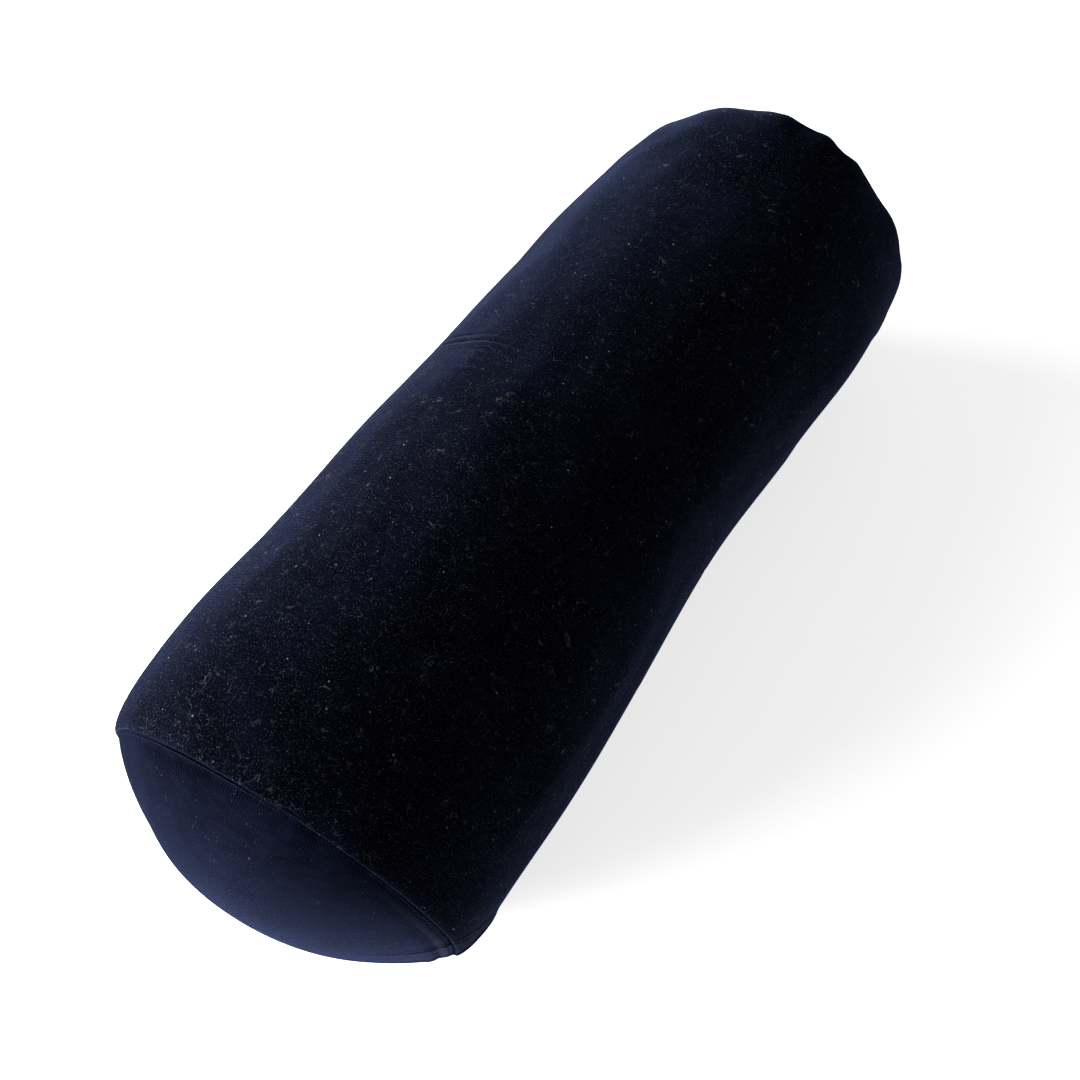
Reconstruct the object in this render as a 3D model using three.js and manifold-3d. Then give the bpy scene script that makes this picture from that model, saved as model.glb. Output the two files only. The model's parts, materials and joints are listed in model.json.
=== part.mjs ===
// A round, fibre-filled bolster pillow: a velvet cover that closes with a concealed zip, over a
// cotton liner that holds the filling.
//
// Units are millimetres. +X runs along the roll from its near end to its far end, +Z is up, and the
// roll lies on z = 0. A depth is always measured inwards from the cover's outer surface.

import * as THREE from "three";
import { mergeVertices } from "three/addons/utils/BufferGeometryUtils.js";
import Module from "manifold-3d";

const wasm = await Module();
wasm.setup();

// ---- Driving dimensions: the roll ----

const ROLL_DIAMETER = 152;
const BODY_LENGTH = 352; // along the axis, from rim seam to rim seam
const NEAR_DOME = 27; // how far each end panel bulges past its rim seam
const FAR_DOME = 30;
const RIM_INSET = 5; // the rim seams pull in to a radius this much smaller than the roll's
const SHOULDER_LENGTH = 30; // the stretch over which the body narrows to its rim
const FLATTENING = 6.5; // how far the underside is pressed up by the roll's own weight
const FLAT_BLEND = 3; // how softly the pressed underside meets the round sides
const FLAT_LIMIT = 0.1; // whatever would clear the surface by less than this lies flat on it
const NEAR_LEAN = 0.06; // each end plane leans, by this share of the distance from the axis
const FAR_LEAN = 0.2;
const LEAN_POWER = 1.5; // the lean grows from nothing at mid length

// ---- Driving dimensions: the cloth ----

const COVER_THICKNESS = 1.2; // velvet with its pile
const SEAM_ALLOWANCE = 8; // folded in behind each rim seam
const THREAD_RADIUS = 0.3;
const THREAD_FROM_FOLD = 2.6; // the stitch line's distance from the folded edge
const LINER_THICKNESS = 0.6;
const LINER_RIM_INSET = 12;
const LINER_SHOULDER = 30;
const LINER_NEAR_DOME = 30;
const LINER_FAR_DOME = 32;
const LINER_OPENING = 110; // the stretch of the liner that is sewn up after filling
const LINER_OPENING_ANGLE = 70; // degrees above the horizontal, on the side away from the zip

// ---- Driving dimensions: the zip ----

const ZIP_ANGLE = 11; // degrees below the horizontal, on the -Y side
const ZIP_MARGIN = 4; // from the end of the zip to the start of the shoulder
const TAPE_WIDTH = 12;
const TAPE_THICKNESS = 0.5;
const COIL_WIDTH = 2.2;
const COIL_THICKNESS = 1.6;
const STITCH_WIDTH = 0.6;
const STITCH_THICKNESS = 0.3;
const STITCH_FROM_EDGE = 6; // from the tape's edge by the slit
const STOP_LENGTH = 2.5;
const SLIDER_LENGTH = 11;
const SLIDER_WIDTH = 8;
const SLIDER_PLATE = 1;
const DIVIDER_THICKNESS = 1.2; // the slider's upright, which passes out through the slit
const DIVIDER_LENGTH = 4;
const PULL_LENGTH = 18;
const PULL_WIDTH = 6;
const PULL_THICKNESS = 1.1;
const PULL_WINDOW = 2; // the width of the pull's eye
const EYE_RADIUS = 1; // the hole in the slider's upright
const EYE_LAND = 0.75; // the metal left round that hole

// ---- Clearances ----

const GAP = 0.3; // between pieces that touch
const LINER_CLEARANCE = 0.8; // between the slider and the liner
const FILLING_CLEARANCE = 1.5; // between the liner and the filling

// ---- Fineness of the faceted surfaces ----

const COVER_SEGMENTS = 40;
const LINER_SEGMENTS = 28;
const SHOULDER_STEPS = 4;
const MIDDLE_STEPS = 6;
const DOME_STEPS = 6;
const STRIP_FACET = 3; // the width of one facet of a curved strip
const THREAD_SIDES = 6;
const EYE_FACETS = 16;
const CUT_MARGIN = 2; // how far a cutting solid reaches past what it cuts

// ---- Derived sizes ----

const RADIUS = ROLL_DIAMETER / 2;
const HALF_BODY = BODY_LENGTH / 2;
const AXIS_HEIGHT = RADIUS - FLATTENING;
const SLIT_WIDTH = DIVIDER_THICKNESS + 2 * GAP;

const TAPE_TOP = COVER_THICKNESS + GAP;
const TAPE_BOTTOM = TAPE_TOP + TAPE_THICKNESS;
const COIL_TOP = TAPE_BOTTOM + GAP;
const COIL_BOTTOM = COIL_TOP + COIL_THICKNESS;
const PLATE_TOP = COIL_BOTTOM + GAP;
const PLATE_BOTTOM = PLATE_TOP + SLIDER_PLATE;
const LINER_DEPTH = PLATE_BOTTOM + LINER_CLEARANCE;

// A form is a roll's outer shape: a straight middle, a shoulder at each end and a rim.
const COVER_FORM = {
  radius: RADIUS,
  half: HALF_BODY,
  shoulder: SHOULDER_LENGTH,
  inset: RIM_INSET,
  depth: 0,
};
const LINER_FORM = {
  radius: RADIUS - LINER_DEPTH,
  half: HALF_BODY - SEAM_ALLOWANCE - COVER_THICKNESS - LINER_CLEARANCE,
  shoulder: LINER_SHOULDER,
  inset: LINER_RIM_INSET,
  depth: LINER_DEPTH,
};
const COVER_RIM = RADIUS - RIM_INSET;
const LINER_RIM = LINER_FORM.radius - LINER_RIM_INSET;

// ---- Finishes ----

const VELVET = { color: 0x141a2c, roughness: 0.95, metalness: 0 };
const NAVY_THREAD = { color: 0x0d111e, roughness: 0.8, metalness: 0 };
const NAVY_TAPE = { color: 0x10141f, roughness: 0.9, metalness: 0 };
const NYLON = { color: 0x12151d, roughness: 0.45, metalness: 0 };
const DARK_METAL = { color: 0x1b1e27, roughness: 0.4, metalness: 0.8 };
const LINER_COTTON = { color: 0xe4e1d8, roughness: 0.9, metalness: 0 };
const WHITE_THREAD = { color: 0xefece4, roughness: 0.8, metalness: 0 };
const FIBRE = { color: 0xf2f1ee, roughness: 1, metalness: 0 };

// ---- Helpers ----

/** `count` + 1 evenly spaced numbers from `first` to `last`. */
function steps(first, last, count) {
  const share = (last - first) / count;
  return Array.from({ length: count + 1 }, (_, i) => first + share * i);
}

/** Where a height above the axis ends up once the underside rests on the surface below. */
function pressed(z, depth) {
  const floor = depth - AXIS_HEIGHT;
  const blend = Math.max(FLAT_BLEND - Math.abs(z - floor), 0);
  const height = Math.max(z, floor) + (blend * blend) / (4 * FLAT_BLEND);
  return height < floor + FLAT_LIMIT ? floor : height;
}

/** How far a point moves along X because the ends lean. */
function lean(x, y) {
  const toNear = Math.max(-x / HALF_BODY, 0) ** LEAN_POWER;
  const toFar = Math.max(x / HALF_BODY, 0) ** LEAN_POWER;
  return -y * (NEAR_LEAN * toNear + FAR_LEAN * toFar);
}

/** Turns a profile of {x, r, depth} points round the axis, then presses and leans it. */
function turned(profile, segments) {
  const outline = profile.map((p) => new THREE.Vector2(p.r, p.x));
  const geometry = new THREE.LatheGeometry(outline, segments);
  const place = geometry.getAttribute("position");
  for (let i = 0; i < place.count; i += 1) {
    const { x, depth } = profile[i % profile.length];
    const y = place.getZ(i);
    const z = pressed(place.getX(i), depth);
    place.setXYZ(i, x + lean(x, y), y, z + AXIS_HEIGHT);
  }
  return geometry;
}

/** Points along a form's wall from its near rim to its far rim, sunk by `depth` under the form. */
function wall(form, sink, lastAngle = Math.PI / 2) {
  const straight = form.half - form.shoulder;
  const far = steps(0, lastAngle, SHOULDER_STEPS).map((a) => ({
    x: straight + form.shoulder * Math.sin(a),
    r: form.radius - form.inset * (1 - Math.cos(a)) - sink,
    depth: form.depth + sink,
  }));
  const near = far.map((p) => ({ ...p, x: -p.x })).reverse();
  const middle = steps(-straight, straight, MIDDLE_STEPS).slice(1, -1);
  const r = form.radius - sink;
  const depth = form.depth + sink;
  return [...near, ...middle.map((x) => ({ x, r, depth })), ...far];
}

/** Points of a dome from the axis out to its rim. `side` is -1 at the near end and 1 at the far. */
function dome(side, half, bulge, rim, depth, lastAngle = Math.PI / 2) {
  return steps(0, lastAngle, DOME_STEPS).map((a) => ({
    x: side * (half + bulge * Math.cos(a)),
    r: rim * Math.sin(a),
    depth,
  }));
}

/** A lathe profile faces out when it runs from -X to +X, so a far-end profile is reversed. */
function facingOut(side, profile) {
  return side < 0 ? profile : [...profile].reverse();
}

/** Closes a profile on its own first point. */
function closed(profile) {
  return [...profile, profile[0]];
}

/** The direction of the zip line in the (y, z) plane, as an angle. */
const ZIP_DIRECTION = Math.PI + THREE.MathUtils.degToRad(ZIP_ANGLE);

/** Extrudes a shape drawn in the (y, z) plane, about the axis, from x0 to x1. */
function alongRoll(shape, x0, x1, curveSegments) {
  const options = { depth: x1 - x0, bevelEnabled: false, curveSegments };
  const geometry = new THREE.ExtrudeGeometry(shape, options);
  const toRoll = new THREE.Matrix4().makeBasis(
    new THREE.Vector3(0, 1, 0),
    new THREE.Vector3(0, 0, 1),
    new THREE.Vector3(1, 0, 0),
  );
  geometry.applyMatrix4(toRoll);
  geometry.translate(x0, 0, AXIS_HEIGHT);
  return geometry;
}

/**
 * A strip that follows the body's curve. It reaches from s0 to s1 round the body, measured from
 * `direction` at the cover's surface, and from the depth `top` to the depth `bottom`.
 */
function curvedStrip(direction, x0, x1, s0, s1, top, bottom) {
  const a0 = direction + s0 / RADIUS;
  const a1 = direction + s1 / RADIUS;
  const shape = new THREE.Shape();
  shape.absarc(0, 0, RADIUS - top, a0, a1, false);
  shape.absarc(0, 0, RADIUS - bottom, a1, a0, true);
  const facets = Math.max(1, Math.round((s1 - s0) / STRIP_FACET));
  return alongRoll(shape, x0, x1, facets);
}

/** A manifold-3d solid of a closed geometry. */
function solid(geometry) {
  const bare = geometry.clone();
  bare.deleteAttribute("normal");
  bare.deleteAttribute("uv");
  const merged = mergeVertices(bare);
  const vertProperties = new Float32Array(merged.getAttribute("position").array);
  const triVerts = new Uint32Array(merged.getIndex().array);
  return new wasm.Manifold(new wasm.Mesh({ numProp: 3, vertProperties, triVerts }));
}

/** A three.js geometry of a manifold-3d solid. */
function geometryOf(body) {
  const mesh = body.getMesh();
  const geometry = new THREE.BufferGeometry();
  geometry.setAttribute("position", new THREE.BufferAttribute(mesh.vertProperties, 3));
  geometry.setIndex(new THREE.BufferAttribute(mesh.triVerts, 1));
  geometry.computeVertexNormals();
  return geometry;
}

/** A box from its lowest to its highest corner. */
function block(low, high) {
  const size = high.map((value, i) => value - low[i]);
  const geometry = new THREE.BoxGeometry(...size);
  geometry.translate(...low.map((value, i) => value + size[i] / 2));
  return geometry;
}

/** A named piece with a material of its own. */
function piece(name, geometry, finish) {
  const mesh = new THREE.Mesh(geometry, new THREE.MeshStandardMaterial(finish));
  mesh.name = name;
  return mesh;
}

// ---- The zip's ends, on the side of the body where it runs ----

const STRAIGHT_HALF = HALF_BODY - SHOULDER_LENGTH;
const ZIP_NEAR = lean(-STRAIGHT_HALF, -RADIUS) - STRAIGHT_HALF + ZIP_MARGIN;
const ZIP_FAR = lean(STRAIGHT_HALF, -RADIUS) + STRAIGHT_HALF - ZIP_MARGIN;

// ---- The cover ----

/** The body: a tube whose ends fold in at the rims, with a long slit for the zip. */
function coverTube() {
  const fold = SEAM_ALLOWANCE * Math.SQRT1_2;
  const cloth = COVER_THICKNESS * Math.SQRT1_2;
  const front = { x: HALF_BODY - fold, r: COVER_RIM - fold, depth: fold };
  const back = { x: front.x - cloth, r: front.r + cloth, depth: fold - cloth };
  // The wrong sides of the wall and the fold meet a little way in from the folded edge.
  const crook = 0.75 * cloth;
  const corner = {
    x: HALF_BODY - crook - cloth,
    r: COVER_RIM - crook + cloth,
    depth: COVER_THICKNESS,
  };
  const lastInnerAngle = THREE.MathUtils.degToRad(70);
  const profile = [
    ...wall(COVER_FORM, 0),
    front,
    back,
    corner,
    ...wall(COVER_FORM, COVER_THICKNESS, lastInnerAngle).reverse(),
    { ...corner, x: -corner.x },
    { ...back, x: -back.x },
    { ...front, x: -front.x },
  ];
  const tube = solid(turned(closed(profile), COVER_SEGMENTS));
  const half = SLIT_WIDTH / 2;
  const below = COVER_THICKNESS + CUT_MARGIN;
  const slit = curvedStrip(ZIP_DIRECTION, ZIP_NEAR, ZIP_FAR, -half, half, -CUT_MARGIN, below);
  return piece("cover_tube", geometryOf(tube.subtract(solid(slit))), VELVET);
}

/** An end panel: a domed disc whose edge folds in beside the tube's. */
function endPanel(name, side, bulge) {
  const gap = GAP * Math.SQRT1_2;
  const fold = SEAM_ALLOWANCE * Math.SQRT1_2;
  const cloth = COVER_THICKNESS * Math.SQRT1_2;
  const half = HALF_BODY + gap;
  const rim = COVER_RIM - gap;
  const front = { x: side * (half - fold), r: rim - fold, depth: gap + fold };
  const back = { x: front.x + side * cloth, r: front.r - cloth, depth: front.depth + cloth };
  const lastInnerAngle = THREE.MathUtils.degToRad(86);
  const insideBulge = bulge - COVER_THICKNESS;
  const insideRim = rim - COVER_THICKNESS;
  const insideDepth = gap + COVER_THICKNESS;
  const profile = [
    ...dome(side, half, bulge, rim, gap),
    front,
    back,
    ...dome(side, half, insideBulge, insideRim, insideDepth, lastInnerAngle).reverse(),
  ];
  return piece(name, turned(facingOut(side, profile), COVER_SEGMENTS), VELVET);
}

/** A ring of thread round the roll, `r` from its axis. */
function threadRing(name, x, r, depth, segments, finish) {
  const ring = steps(0, 2 * Math.PI, THREAD_SIDES).slice(0, -1).map((a) => ({
    x: x + THREAD_RADIUS * Math.sin(a),
    r: r + THREAD_RADIUS * Math.cos(a),
    depth: depth - THREAD_RADIUS * Math.cos(a),
  }));
  return piece(name, turned(closed(ring), segments), finish);
}

/** The stitching that joins an end panel to the tube, on the back of the folded-in edges. */
function rimSeamThread(name, side) {
  const depth = COVER_THICKNESS + GAP + THREAD_RADIUS;
  const out = depth * Math.SQRT1_2;
  const down = THREAD_FROM_FOLD * Math.SQRT1_2;
  const x = side * (HALF_BODY - down - out);
  const r = COVER_RIM - down + out;
  return threadRing(name, x, r, depth, COVER_SEGMENTS, NAVY_THREAD);
}

/** The stitching of the closed stretch of long seam between a rim and the zip. */
function longSeamThread(name, side, zipEnd) {
  const sink = COVER_THICKNESS + GAP + THREAD_RADIUS;
  const direction = new THREE.Vector2(Math.cos(ZIP_DIRECTION), Math.sin(ZIP_DIRECTION));
  const lastAngle = THREE.MathUtils.degToRad(50);
  const points = steps(0, lastAngle, SHOULDER_STEPS).map((a) => {
    const r = RADIUS - RIM_INSET * (1 - Math.cos(a)) - sink;
    const x = side * (STRAIGHT_HALF + SHOULDER_LENGTH * Math.sin(a));
    const y = r * direction.x;
    return new THREE.Vector3(x + lean(x, y), y, AXIS_HEIGHT + r * direction.y);
  });
  points.unshift(points[0].clone().setX(zipEnd + side * GAP));
  const path = new THREE.CatmullRomCurve3(points);
  const section = new THREE.Shape().absarc(0, 0, THREAD_RADIUS, 0, 2 * Math.PI, false);
  const options = { steps: 12, extrudePath: path, curveSegments: THREAD_SIDES };
  return piece(name, new THREE.ExtrudeGeometry(section, options), NAVY_THREAD);
}

// ---- The zip ----

/** One half of a strip beside the slit. `side` is -1 above the zip line and 1 below it. */
function besideSlit(side, from, to, x0, x1, top, bottom) {
  const edge = SLIT_WIDTH / 2;
  const reach = [side * (edge + from), side * (edge + to)].sort((a, b) => a - b);
  return curvedStrip(ZIP_DIRECTION, x0, x1, ...reach, top, bottom);
}

/** A tape, its coil and the stitching that holds the tape to the cover, on one side of the slit. */
function zipHalf(word, side) {
  const tape = besideSlit(side, 0, TAPE_WIDTH, ZIP_NEAR, ZIP_FAR, TAPE_TOP, TAPE_BOTTOM);
  const coilNear = ZIP_NEAR + STOP_LENGTH + GAP;
  const coilFar = ZIP_FAR - STOP_LENGTH - GAP;
  const coil = besideSlit(side, 0, COIL_WIDTH, coilNear, coilFar, COIL_TOP, COIL_BOTTOM);
  const stitchEnd = STITCH_FROM_EDGE + STITCH_WIDTH;
  const stitchBottom = COIL_TOP + STITCH_THICKNESS;
  const stitch = besideSlit(
    side, STITCH_FROM_EDGE, stitchEnd, ZIP_NEAR, ZIP_FAR, COIL_TOP, stitchBottom,
  );
  return [
    piece(`zip_tape_${word}`, tape, NAVY_TAPE),
    piece(`zip_coil_${word}`, coil, NYLON),
    piece(`zip_stitching_${word}`, stitch, NAVY_THREAD),
  ];
}

/** A stop: a small metal bar across both coils' ends. */
function zipStop(name, x0, x1) {
  const reach = SLIT_WIDTH / 2 + COIL_WIDTH;
  const bar = curvedStrip(ZIP_DIRECTION, x0, x1, -reach, reach, COIL_TOP, COIL_BOTTOM);
  return piece(name, bar, DARK_METAL);
}

// The slider and pull are drawn about the slider's middle in a frame of their own: X along the
// roll, Y round it and upwards, and Z out from the cover's surface.
const PULL_HEIGHT = GAP + PULL_THICKNESS / 2;
const SLIDER_X = ZIP_FAR - STOP_LENGTH - 2 * GAP - SLIDER_LENGTH / 2;

/** The slider: a plate behind the coils and an upright that carries the pull's eye. */
function zipSlider() {
  const top = PULL_HEIGHT + EYE_RADIUS + EYE_LAND;
  const plate = block(
    [-SLIDER_LENGTH / 2, -SLIDER_WIDTH / 2, -PLATE_BOTTOM],
    [SLIDER_LENGTH / 2, SLIDER_WIDTH / 2, -PLATE_TOP],
  );
  const overlap = SLIDER_PLATE / 2;
  const divider = block(
    [-DIVIDER_LENGTH / 2, -DIVIDER_THICKNESS / 2, -PLATE_TOP - overlap],
    [DIVIDER_LENGTH / 2, DIVIDER_THICKNESS / 2, top],
  );
  const cut = DIVIDER_THICKNESS + CUT_MARGIN;
  const hole = new THREE.CylinderGeometry(EYE_RADIUS, EYE_RADIUS, cut, EYE_FACETS);
  hole.translate(0, 0, PULL_HEIGHT);
  const body = solid(plate).add(solid(divider)).subtract(solid(hole));
  return piece("zip_slider", geometryOf(body), DARK_METAL);
}

/** The pull: a flat tab whose end bar passes through the slider's eye. */
function zipPull() {
  const bar = PULL_THICKNESS / 2;
  const tip = PULL_WIDTH / 2;
  const outline = new THREE.Shape();
  outline.moveTo(bar, -PULL_WIDTH / 2);
  outline.lineTo(bar, PULL_WIDTH / 2);
  outline.lineTo(tip - PULL_LENGTH, PULL_WIDTH / 2);
  outline.absarc(tip - PULL_LENGTH, 0, tip, Math.PI / 2, -Math.PI / 2, false);
  const corner = Math.hypot(DIVIDER_LENGTH / 2, EYE_RADIUS + EYE_LAND);
  const windowEnd = -(corner + GAP);
  const window = new THREE.Path();
  window.moveTo(-bar, -PULL_WINDOW / 2);
  window.lineTo(-bar, PULL_WINDOW / 2);
  window.lineTo(windowEnd, PULL_WINDOW / 2);
  window.lineTo(windowEnd, -PULL_WINDOW / 2);
  outline.holes.push(window);
  const options = { depth: PULL_THICKNESS, bevelEnabled: false, curveSegments: 8 };
  const tab = new THREE.ExtrudeGeometry(outline, options);
  tab.translate(0, 0, PULL_HEIGHT - PULL_THICKNESS / 2);
  return piece("zip_pull_tab", tab, DARK_METAL);
}

/** The slider and pull, set on the cover at the closed end of the zip. */
function sliderGroup() {
  const group = new THREE.Group();
  group.add(zipSlider(), zipPull());
  group.rotation.x = Math.PI / 2 + THREE.MathUtils.degToRad(ZIP_ANGLE);
  const y = RADIUS * Math.cos(ZIP_DIRECTION);
  const z = AXIS_HEIGHT + RADIUS * Math.sin(ZIP_DIRECTION);
  group.position.set(SLIDER_X, y, z);
  return group;
}

// ---- The liner and the filling ----

/** The liner's tube. */
function linerTube() {
  const profile = [...wall(LINER_FORM, 0), ...wall(LINER_FORM, LINER_THICKNESS).reverse()];
  return piece("liner_tube", turned(closed(profile), LINER_SEGMENTS), LINER_COTTON);
}

/** One domed end of the liner. */
function linerEnd(name, side, bulge) {
  const half = LINER_FORM.half + GAP;
  const insideBulge = bulge - LINER_THICKNESS;
  const insideRim = LINER_RIM - LINER_THICKNESS;
  const profile = [
    ...dome(side, half, bulge, LINER_RIM, LINER_DEPTH),
    ...dome(side, half, insideBulge, insideRim, LINER_DEPTH + LINER_THICKNESS).reverse(),
  ];
  return piece(name, turned(facingOut(side, profile), LINER_SEGMENTS), LINER_COTTON);
}

/** The overlocked seam round one end of the liner. */
function linerSeamThread(name, side) {
  const r = LINER_RIM + GAP + THREAD_RADIUS;
  const x = side * (LINER_FORM.half + GAP / 2);
  const depth = LINER_DEPTH - GAP - THREAD_RADIUS;
  return threadRing(name, x, r, depth, LINER_SEGMENTS, WHITE_THREAD);
}

/** The whip stitching that closes the liner where it was filled. */
function linerClosingThread() {
  const half = LINER_OPENING / 2;
  const bottom = LINER_DEPTH - GAP;
  const top = bottom - 2 * THREAD_RADIUS;
  const direction = THREE.MathUtils.degToRad(LINER_OPENING_ANGLE);
  const reach = THREAD_RADIUS;
  const thread = curvedStrip(direction, -half, half, -reach, reach, top, bottom);
  return piece("liner_closing_thread", thread, WHITE_THREAD);
}

/** The fibre filling, as one soft body inside the liner. */
function fibreFilling() {
  const sink = LINER_THICKNESS + FILLING_CLEARANCE;
  const rim = LINER_RIM - sink;
  const depth = LINER_DEPTH + sink;
  const half = LINER_FORM.half;
  const near = dome(-1, half, LINER_NEAR_DOME - sink, rim, depth).slice(0, -1);
  const far = dome(1, half, LINER_FAR_DOME - sink, rim, depth).slice(0, -1).reverse();
  const profile = [...near, ...wall(LINER_FORM, sink), ...far];
  return piece("fibre_filling", turned(profile, LINER_SEGMENTS), FIBRE);
}

// ---- Assembly ----

const pillow = new THREE.Group();
pillow.add(
  coverTube(),
  endPanel("cover_near_end_panel", -1, NEAR_DOME),
  endPanel("cover_far_end_panel", 1, FAR_DOME),
  rimSeamThread("near_rim_seam_thread", -1),
  rimSeamThread("far_rim_seam_thread", 1),
  longSeamThread("long_seam_thread_near", -1, ZIP_NEAR),
  longSeamThread("long_seam_thread_far", 1, ZIP_FAR),
  ...zipHalf("upper", -1),
  ...zipHalf("lower", 1),
  zipStop("zip_bottom_stop", ZIP_NEAR, ZIP_NEAR + STOP_LENGTH),
  zipStop("zip_top_stop", ZIP_FAR - STOP_LENGTH, ZIP_FAR),
  sliderGroup(),
  linerTube(),
  linerEnd("liner_near_end", -1, LINER_NEAR_DOME),
  linerEnd("liner_far_end", 1, LINER_FAR_DOME),
  linerSeamThread("liner_near_seam_thread", -1),
  linerSeamThread("liner_far_seam_thread", 1),
  linerClosingThread(),
  fibreFilling(),
);

// The origin is under the middle of the whole pillow.
const middle = new THREE.Box3().setFromObject(pillow, true).getCenter(new THREE.Vector3());
pillow.position.set(-middle.x, -middle.y, 0);

export default pillow;
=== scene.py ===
# %% [markdown]
# # A bolster pillow
# This lesson builds a round velvet bolster: a tube of stretch velvet with a domed panel sewn into
# each end, a concealed zip along one side, and a cotton liner full of fibre inside. The packed
# model gives the places and the moving bodies. Everything soft is drawn again here, because the
# looks of a stuffed cushion are in its swells, creases and gathers.

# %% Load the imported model
import json
import math

import bmesh
import bpy
import numpy as np
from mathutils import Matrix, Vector

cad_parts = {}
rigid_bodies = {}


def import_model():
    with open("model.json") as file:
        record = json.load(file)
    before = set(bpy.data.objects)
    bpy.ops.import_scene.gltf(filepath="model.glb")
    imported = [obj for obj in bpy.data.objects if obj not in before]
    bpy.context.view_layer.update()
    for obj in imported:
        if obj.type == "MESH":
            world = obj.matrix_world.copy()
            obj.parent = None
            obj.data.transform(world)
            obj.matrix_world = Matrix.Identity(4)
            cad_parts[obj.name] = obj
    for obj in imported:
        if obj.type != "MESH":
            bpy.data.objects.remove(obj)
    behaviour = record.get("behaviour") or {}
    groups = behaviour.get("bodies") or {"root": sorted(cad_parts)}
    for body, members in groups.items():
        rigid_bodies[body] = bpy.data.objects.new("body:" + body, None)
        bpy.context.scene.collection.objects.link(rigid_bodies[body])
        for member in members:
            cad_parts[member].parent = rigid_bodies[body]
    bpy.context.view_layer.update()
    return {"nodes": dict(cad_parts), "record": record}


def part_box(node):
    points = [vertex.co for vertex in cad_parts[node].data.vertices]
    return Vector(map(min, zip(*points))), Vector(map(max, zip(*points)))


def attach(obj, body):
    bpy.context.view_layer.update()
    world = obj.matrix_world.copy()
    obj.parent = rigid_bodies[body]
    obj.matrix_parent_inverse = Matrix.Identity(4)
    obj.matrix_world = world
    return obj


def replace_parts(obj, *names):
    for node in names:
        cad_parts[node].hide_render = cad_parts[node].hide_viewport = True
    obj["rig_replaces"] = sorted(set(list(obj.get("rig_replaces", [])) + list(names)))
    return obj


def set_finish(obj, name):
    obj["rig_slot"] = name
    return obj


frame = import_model()

# %% [markdown]
# ## The roll's own sizes
# All places come from the box of the cover's tube. The axis is half a diameter under its top, and
# the middle is half a body length in from its near rim. A position on the pillow is then given as
# a maker would give it: how far along, how far round, and how deep under the velvet. The ends
# bend a little towards the zip's side, so the axis lies slightly to the other side of the box's
# middle.

# %% Sizes taken from the frame
MM = 0.001
tube_low, tube_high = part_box("cover_tube")
RADIUS = (tube_high.y - tube_low.y) / 2
AXIS_HEIGHT = tube_high.z - RADIUS
HALF_BODY = 176 * MM
NEAR_LEAN = 0.06
FAR_LEAN = 0.2
LEAN_POWER = 1.5
FLAT_BLEND = 3 * MM
CLOTH = 1.2 * MM
ZIP_ANGLE = 191.0
RIM_DROP = 5 * MM
BOX_TO_AXIS = 1 * MM
middle_x = tube_low.x + HALF_BODY + NEAR_LEAN * (RADIUS - RIM_DROP)
zip_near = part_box("zip_tape_upper")[0].x - middle_x
zip_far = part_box("zip_tape_upper")[1].x - middle_x
AXIS_Y = (tube_high.y + tube_low.y) / 2 + BOX_TO_AXIS
print(f"radius {RADIUS * 1000:.1f} mm, zip from {zip_near * 1000:.0f} to {zip_far * 1000:.0f} mm")

# %% [markdown]
# ## The camera
# It looks down on the pillow from its near end at sixty degrees, with a short lens, so that the
# near panel shows under the rim seam and the body runs away up to the right.

# %% Camera
CAMERA_AZIMUTH = math.radians(-57.06)
CAMERA_ELEVATION = math.radians(60.0)
CAMERA_DISTANCE = 471.4 * MM
CAMERA_LENS = 37.4
camera_aim = Vector((middle_x - 17.7 * MM, AXIS_Y - 8.5 * MM, AXIS_HEIGHT))
camera_back = Vector((
    math.sin(CAMERA_AZIMUTH) * math.cos(CAMERA_ELEVATION),
    -math.cos(CAMERA_AZIMUTH) * math.cos(CAMERA_ELEVATION),
    math.sin(CAMERA_ELEVATION),
))
camera = bpy.data.objects.new("camera", bpy.data.cameras.new("camera"))
camera.data.lens = CAMERA_LENS
camera.data.sensor_width = 36.0
camera.data.clip_start = 10 * MM
camera.location = camera_aim + camera_back * CAMERA_DISTANCE
camera.rotation_euler = (-camera_back).to_track_quat("-Z", "Y").to_euler()
bpy.context.scene.collection.objects.link(camera)
bpy.context.scene.camera = camera
print("camera at", [round(v, 3) for v in camera.location])

# %% [markdown]
# ## The shape of a stuffed tube
# A bolster could be a plain cylinder with noise on it, but a real one has a few large, calm forms:
# it is fuller at one end, pulled in at the waist where it was folded, and rounded off over the
# last centimetres before each rim. A handful of soft bumps, each with its place along and round
# the roll, describes that better than noise does, and each can be changed by itself.

# %% Soft bumps and the plain wall
def bump(value, middle, spread):
    """A soft bump, 1 at its middle."""
    return np.exp(-(((value - middle) / spread) ** 2))


def turn_from(angle, middle):
    """Degrees from one direction round the roll to another, from -180 to 180."""
    return (angle - middle + 180.0) % 360.0 - 180.0


def facing(angle, direction, breadth):
    """A soft bump round the roll, 1 in one direction."""
    return bump(turn_from(angle, direction), 0, breadth)


TAPER = 0.0257
WAIST_DEPTH = 1.6 * MM
WAIST_PLACE = 13 * MM
WAIST_SPREAD = 38 * MM
NEAR_RIM = 0.93
FAR_RIM = 0.966
NEAR_SHOULDER = 24 * MM
FAR_SHOULDER = 31 * MM


def plain_wall(x):
    """The average radius of the body at a distance along the roll from its middle."""
    body = RADIUS * (1 + TAPER * (x + HALF_BODY) / (2 * HALF_BODY))
    body = body - WAIST_DEPTH * bump(x, WAIST_PLACE, WAIST_SPREAD)
    for rim, shoulder, inward in (
        (NEAR_RIM, NEAR_SHOULDER, x + HALF_BODY), (FAR_RIM, FAR_SHOULDER, HALF_BODY - x),
    ):
        reach = 1 - np.clip(inward / shoulder, 0, 1)
        body = body * (1 - (1 - rim) * (1 - np.sqrt(1 - reach ** 2)))
    return body


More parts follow.
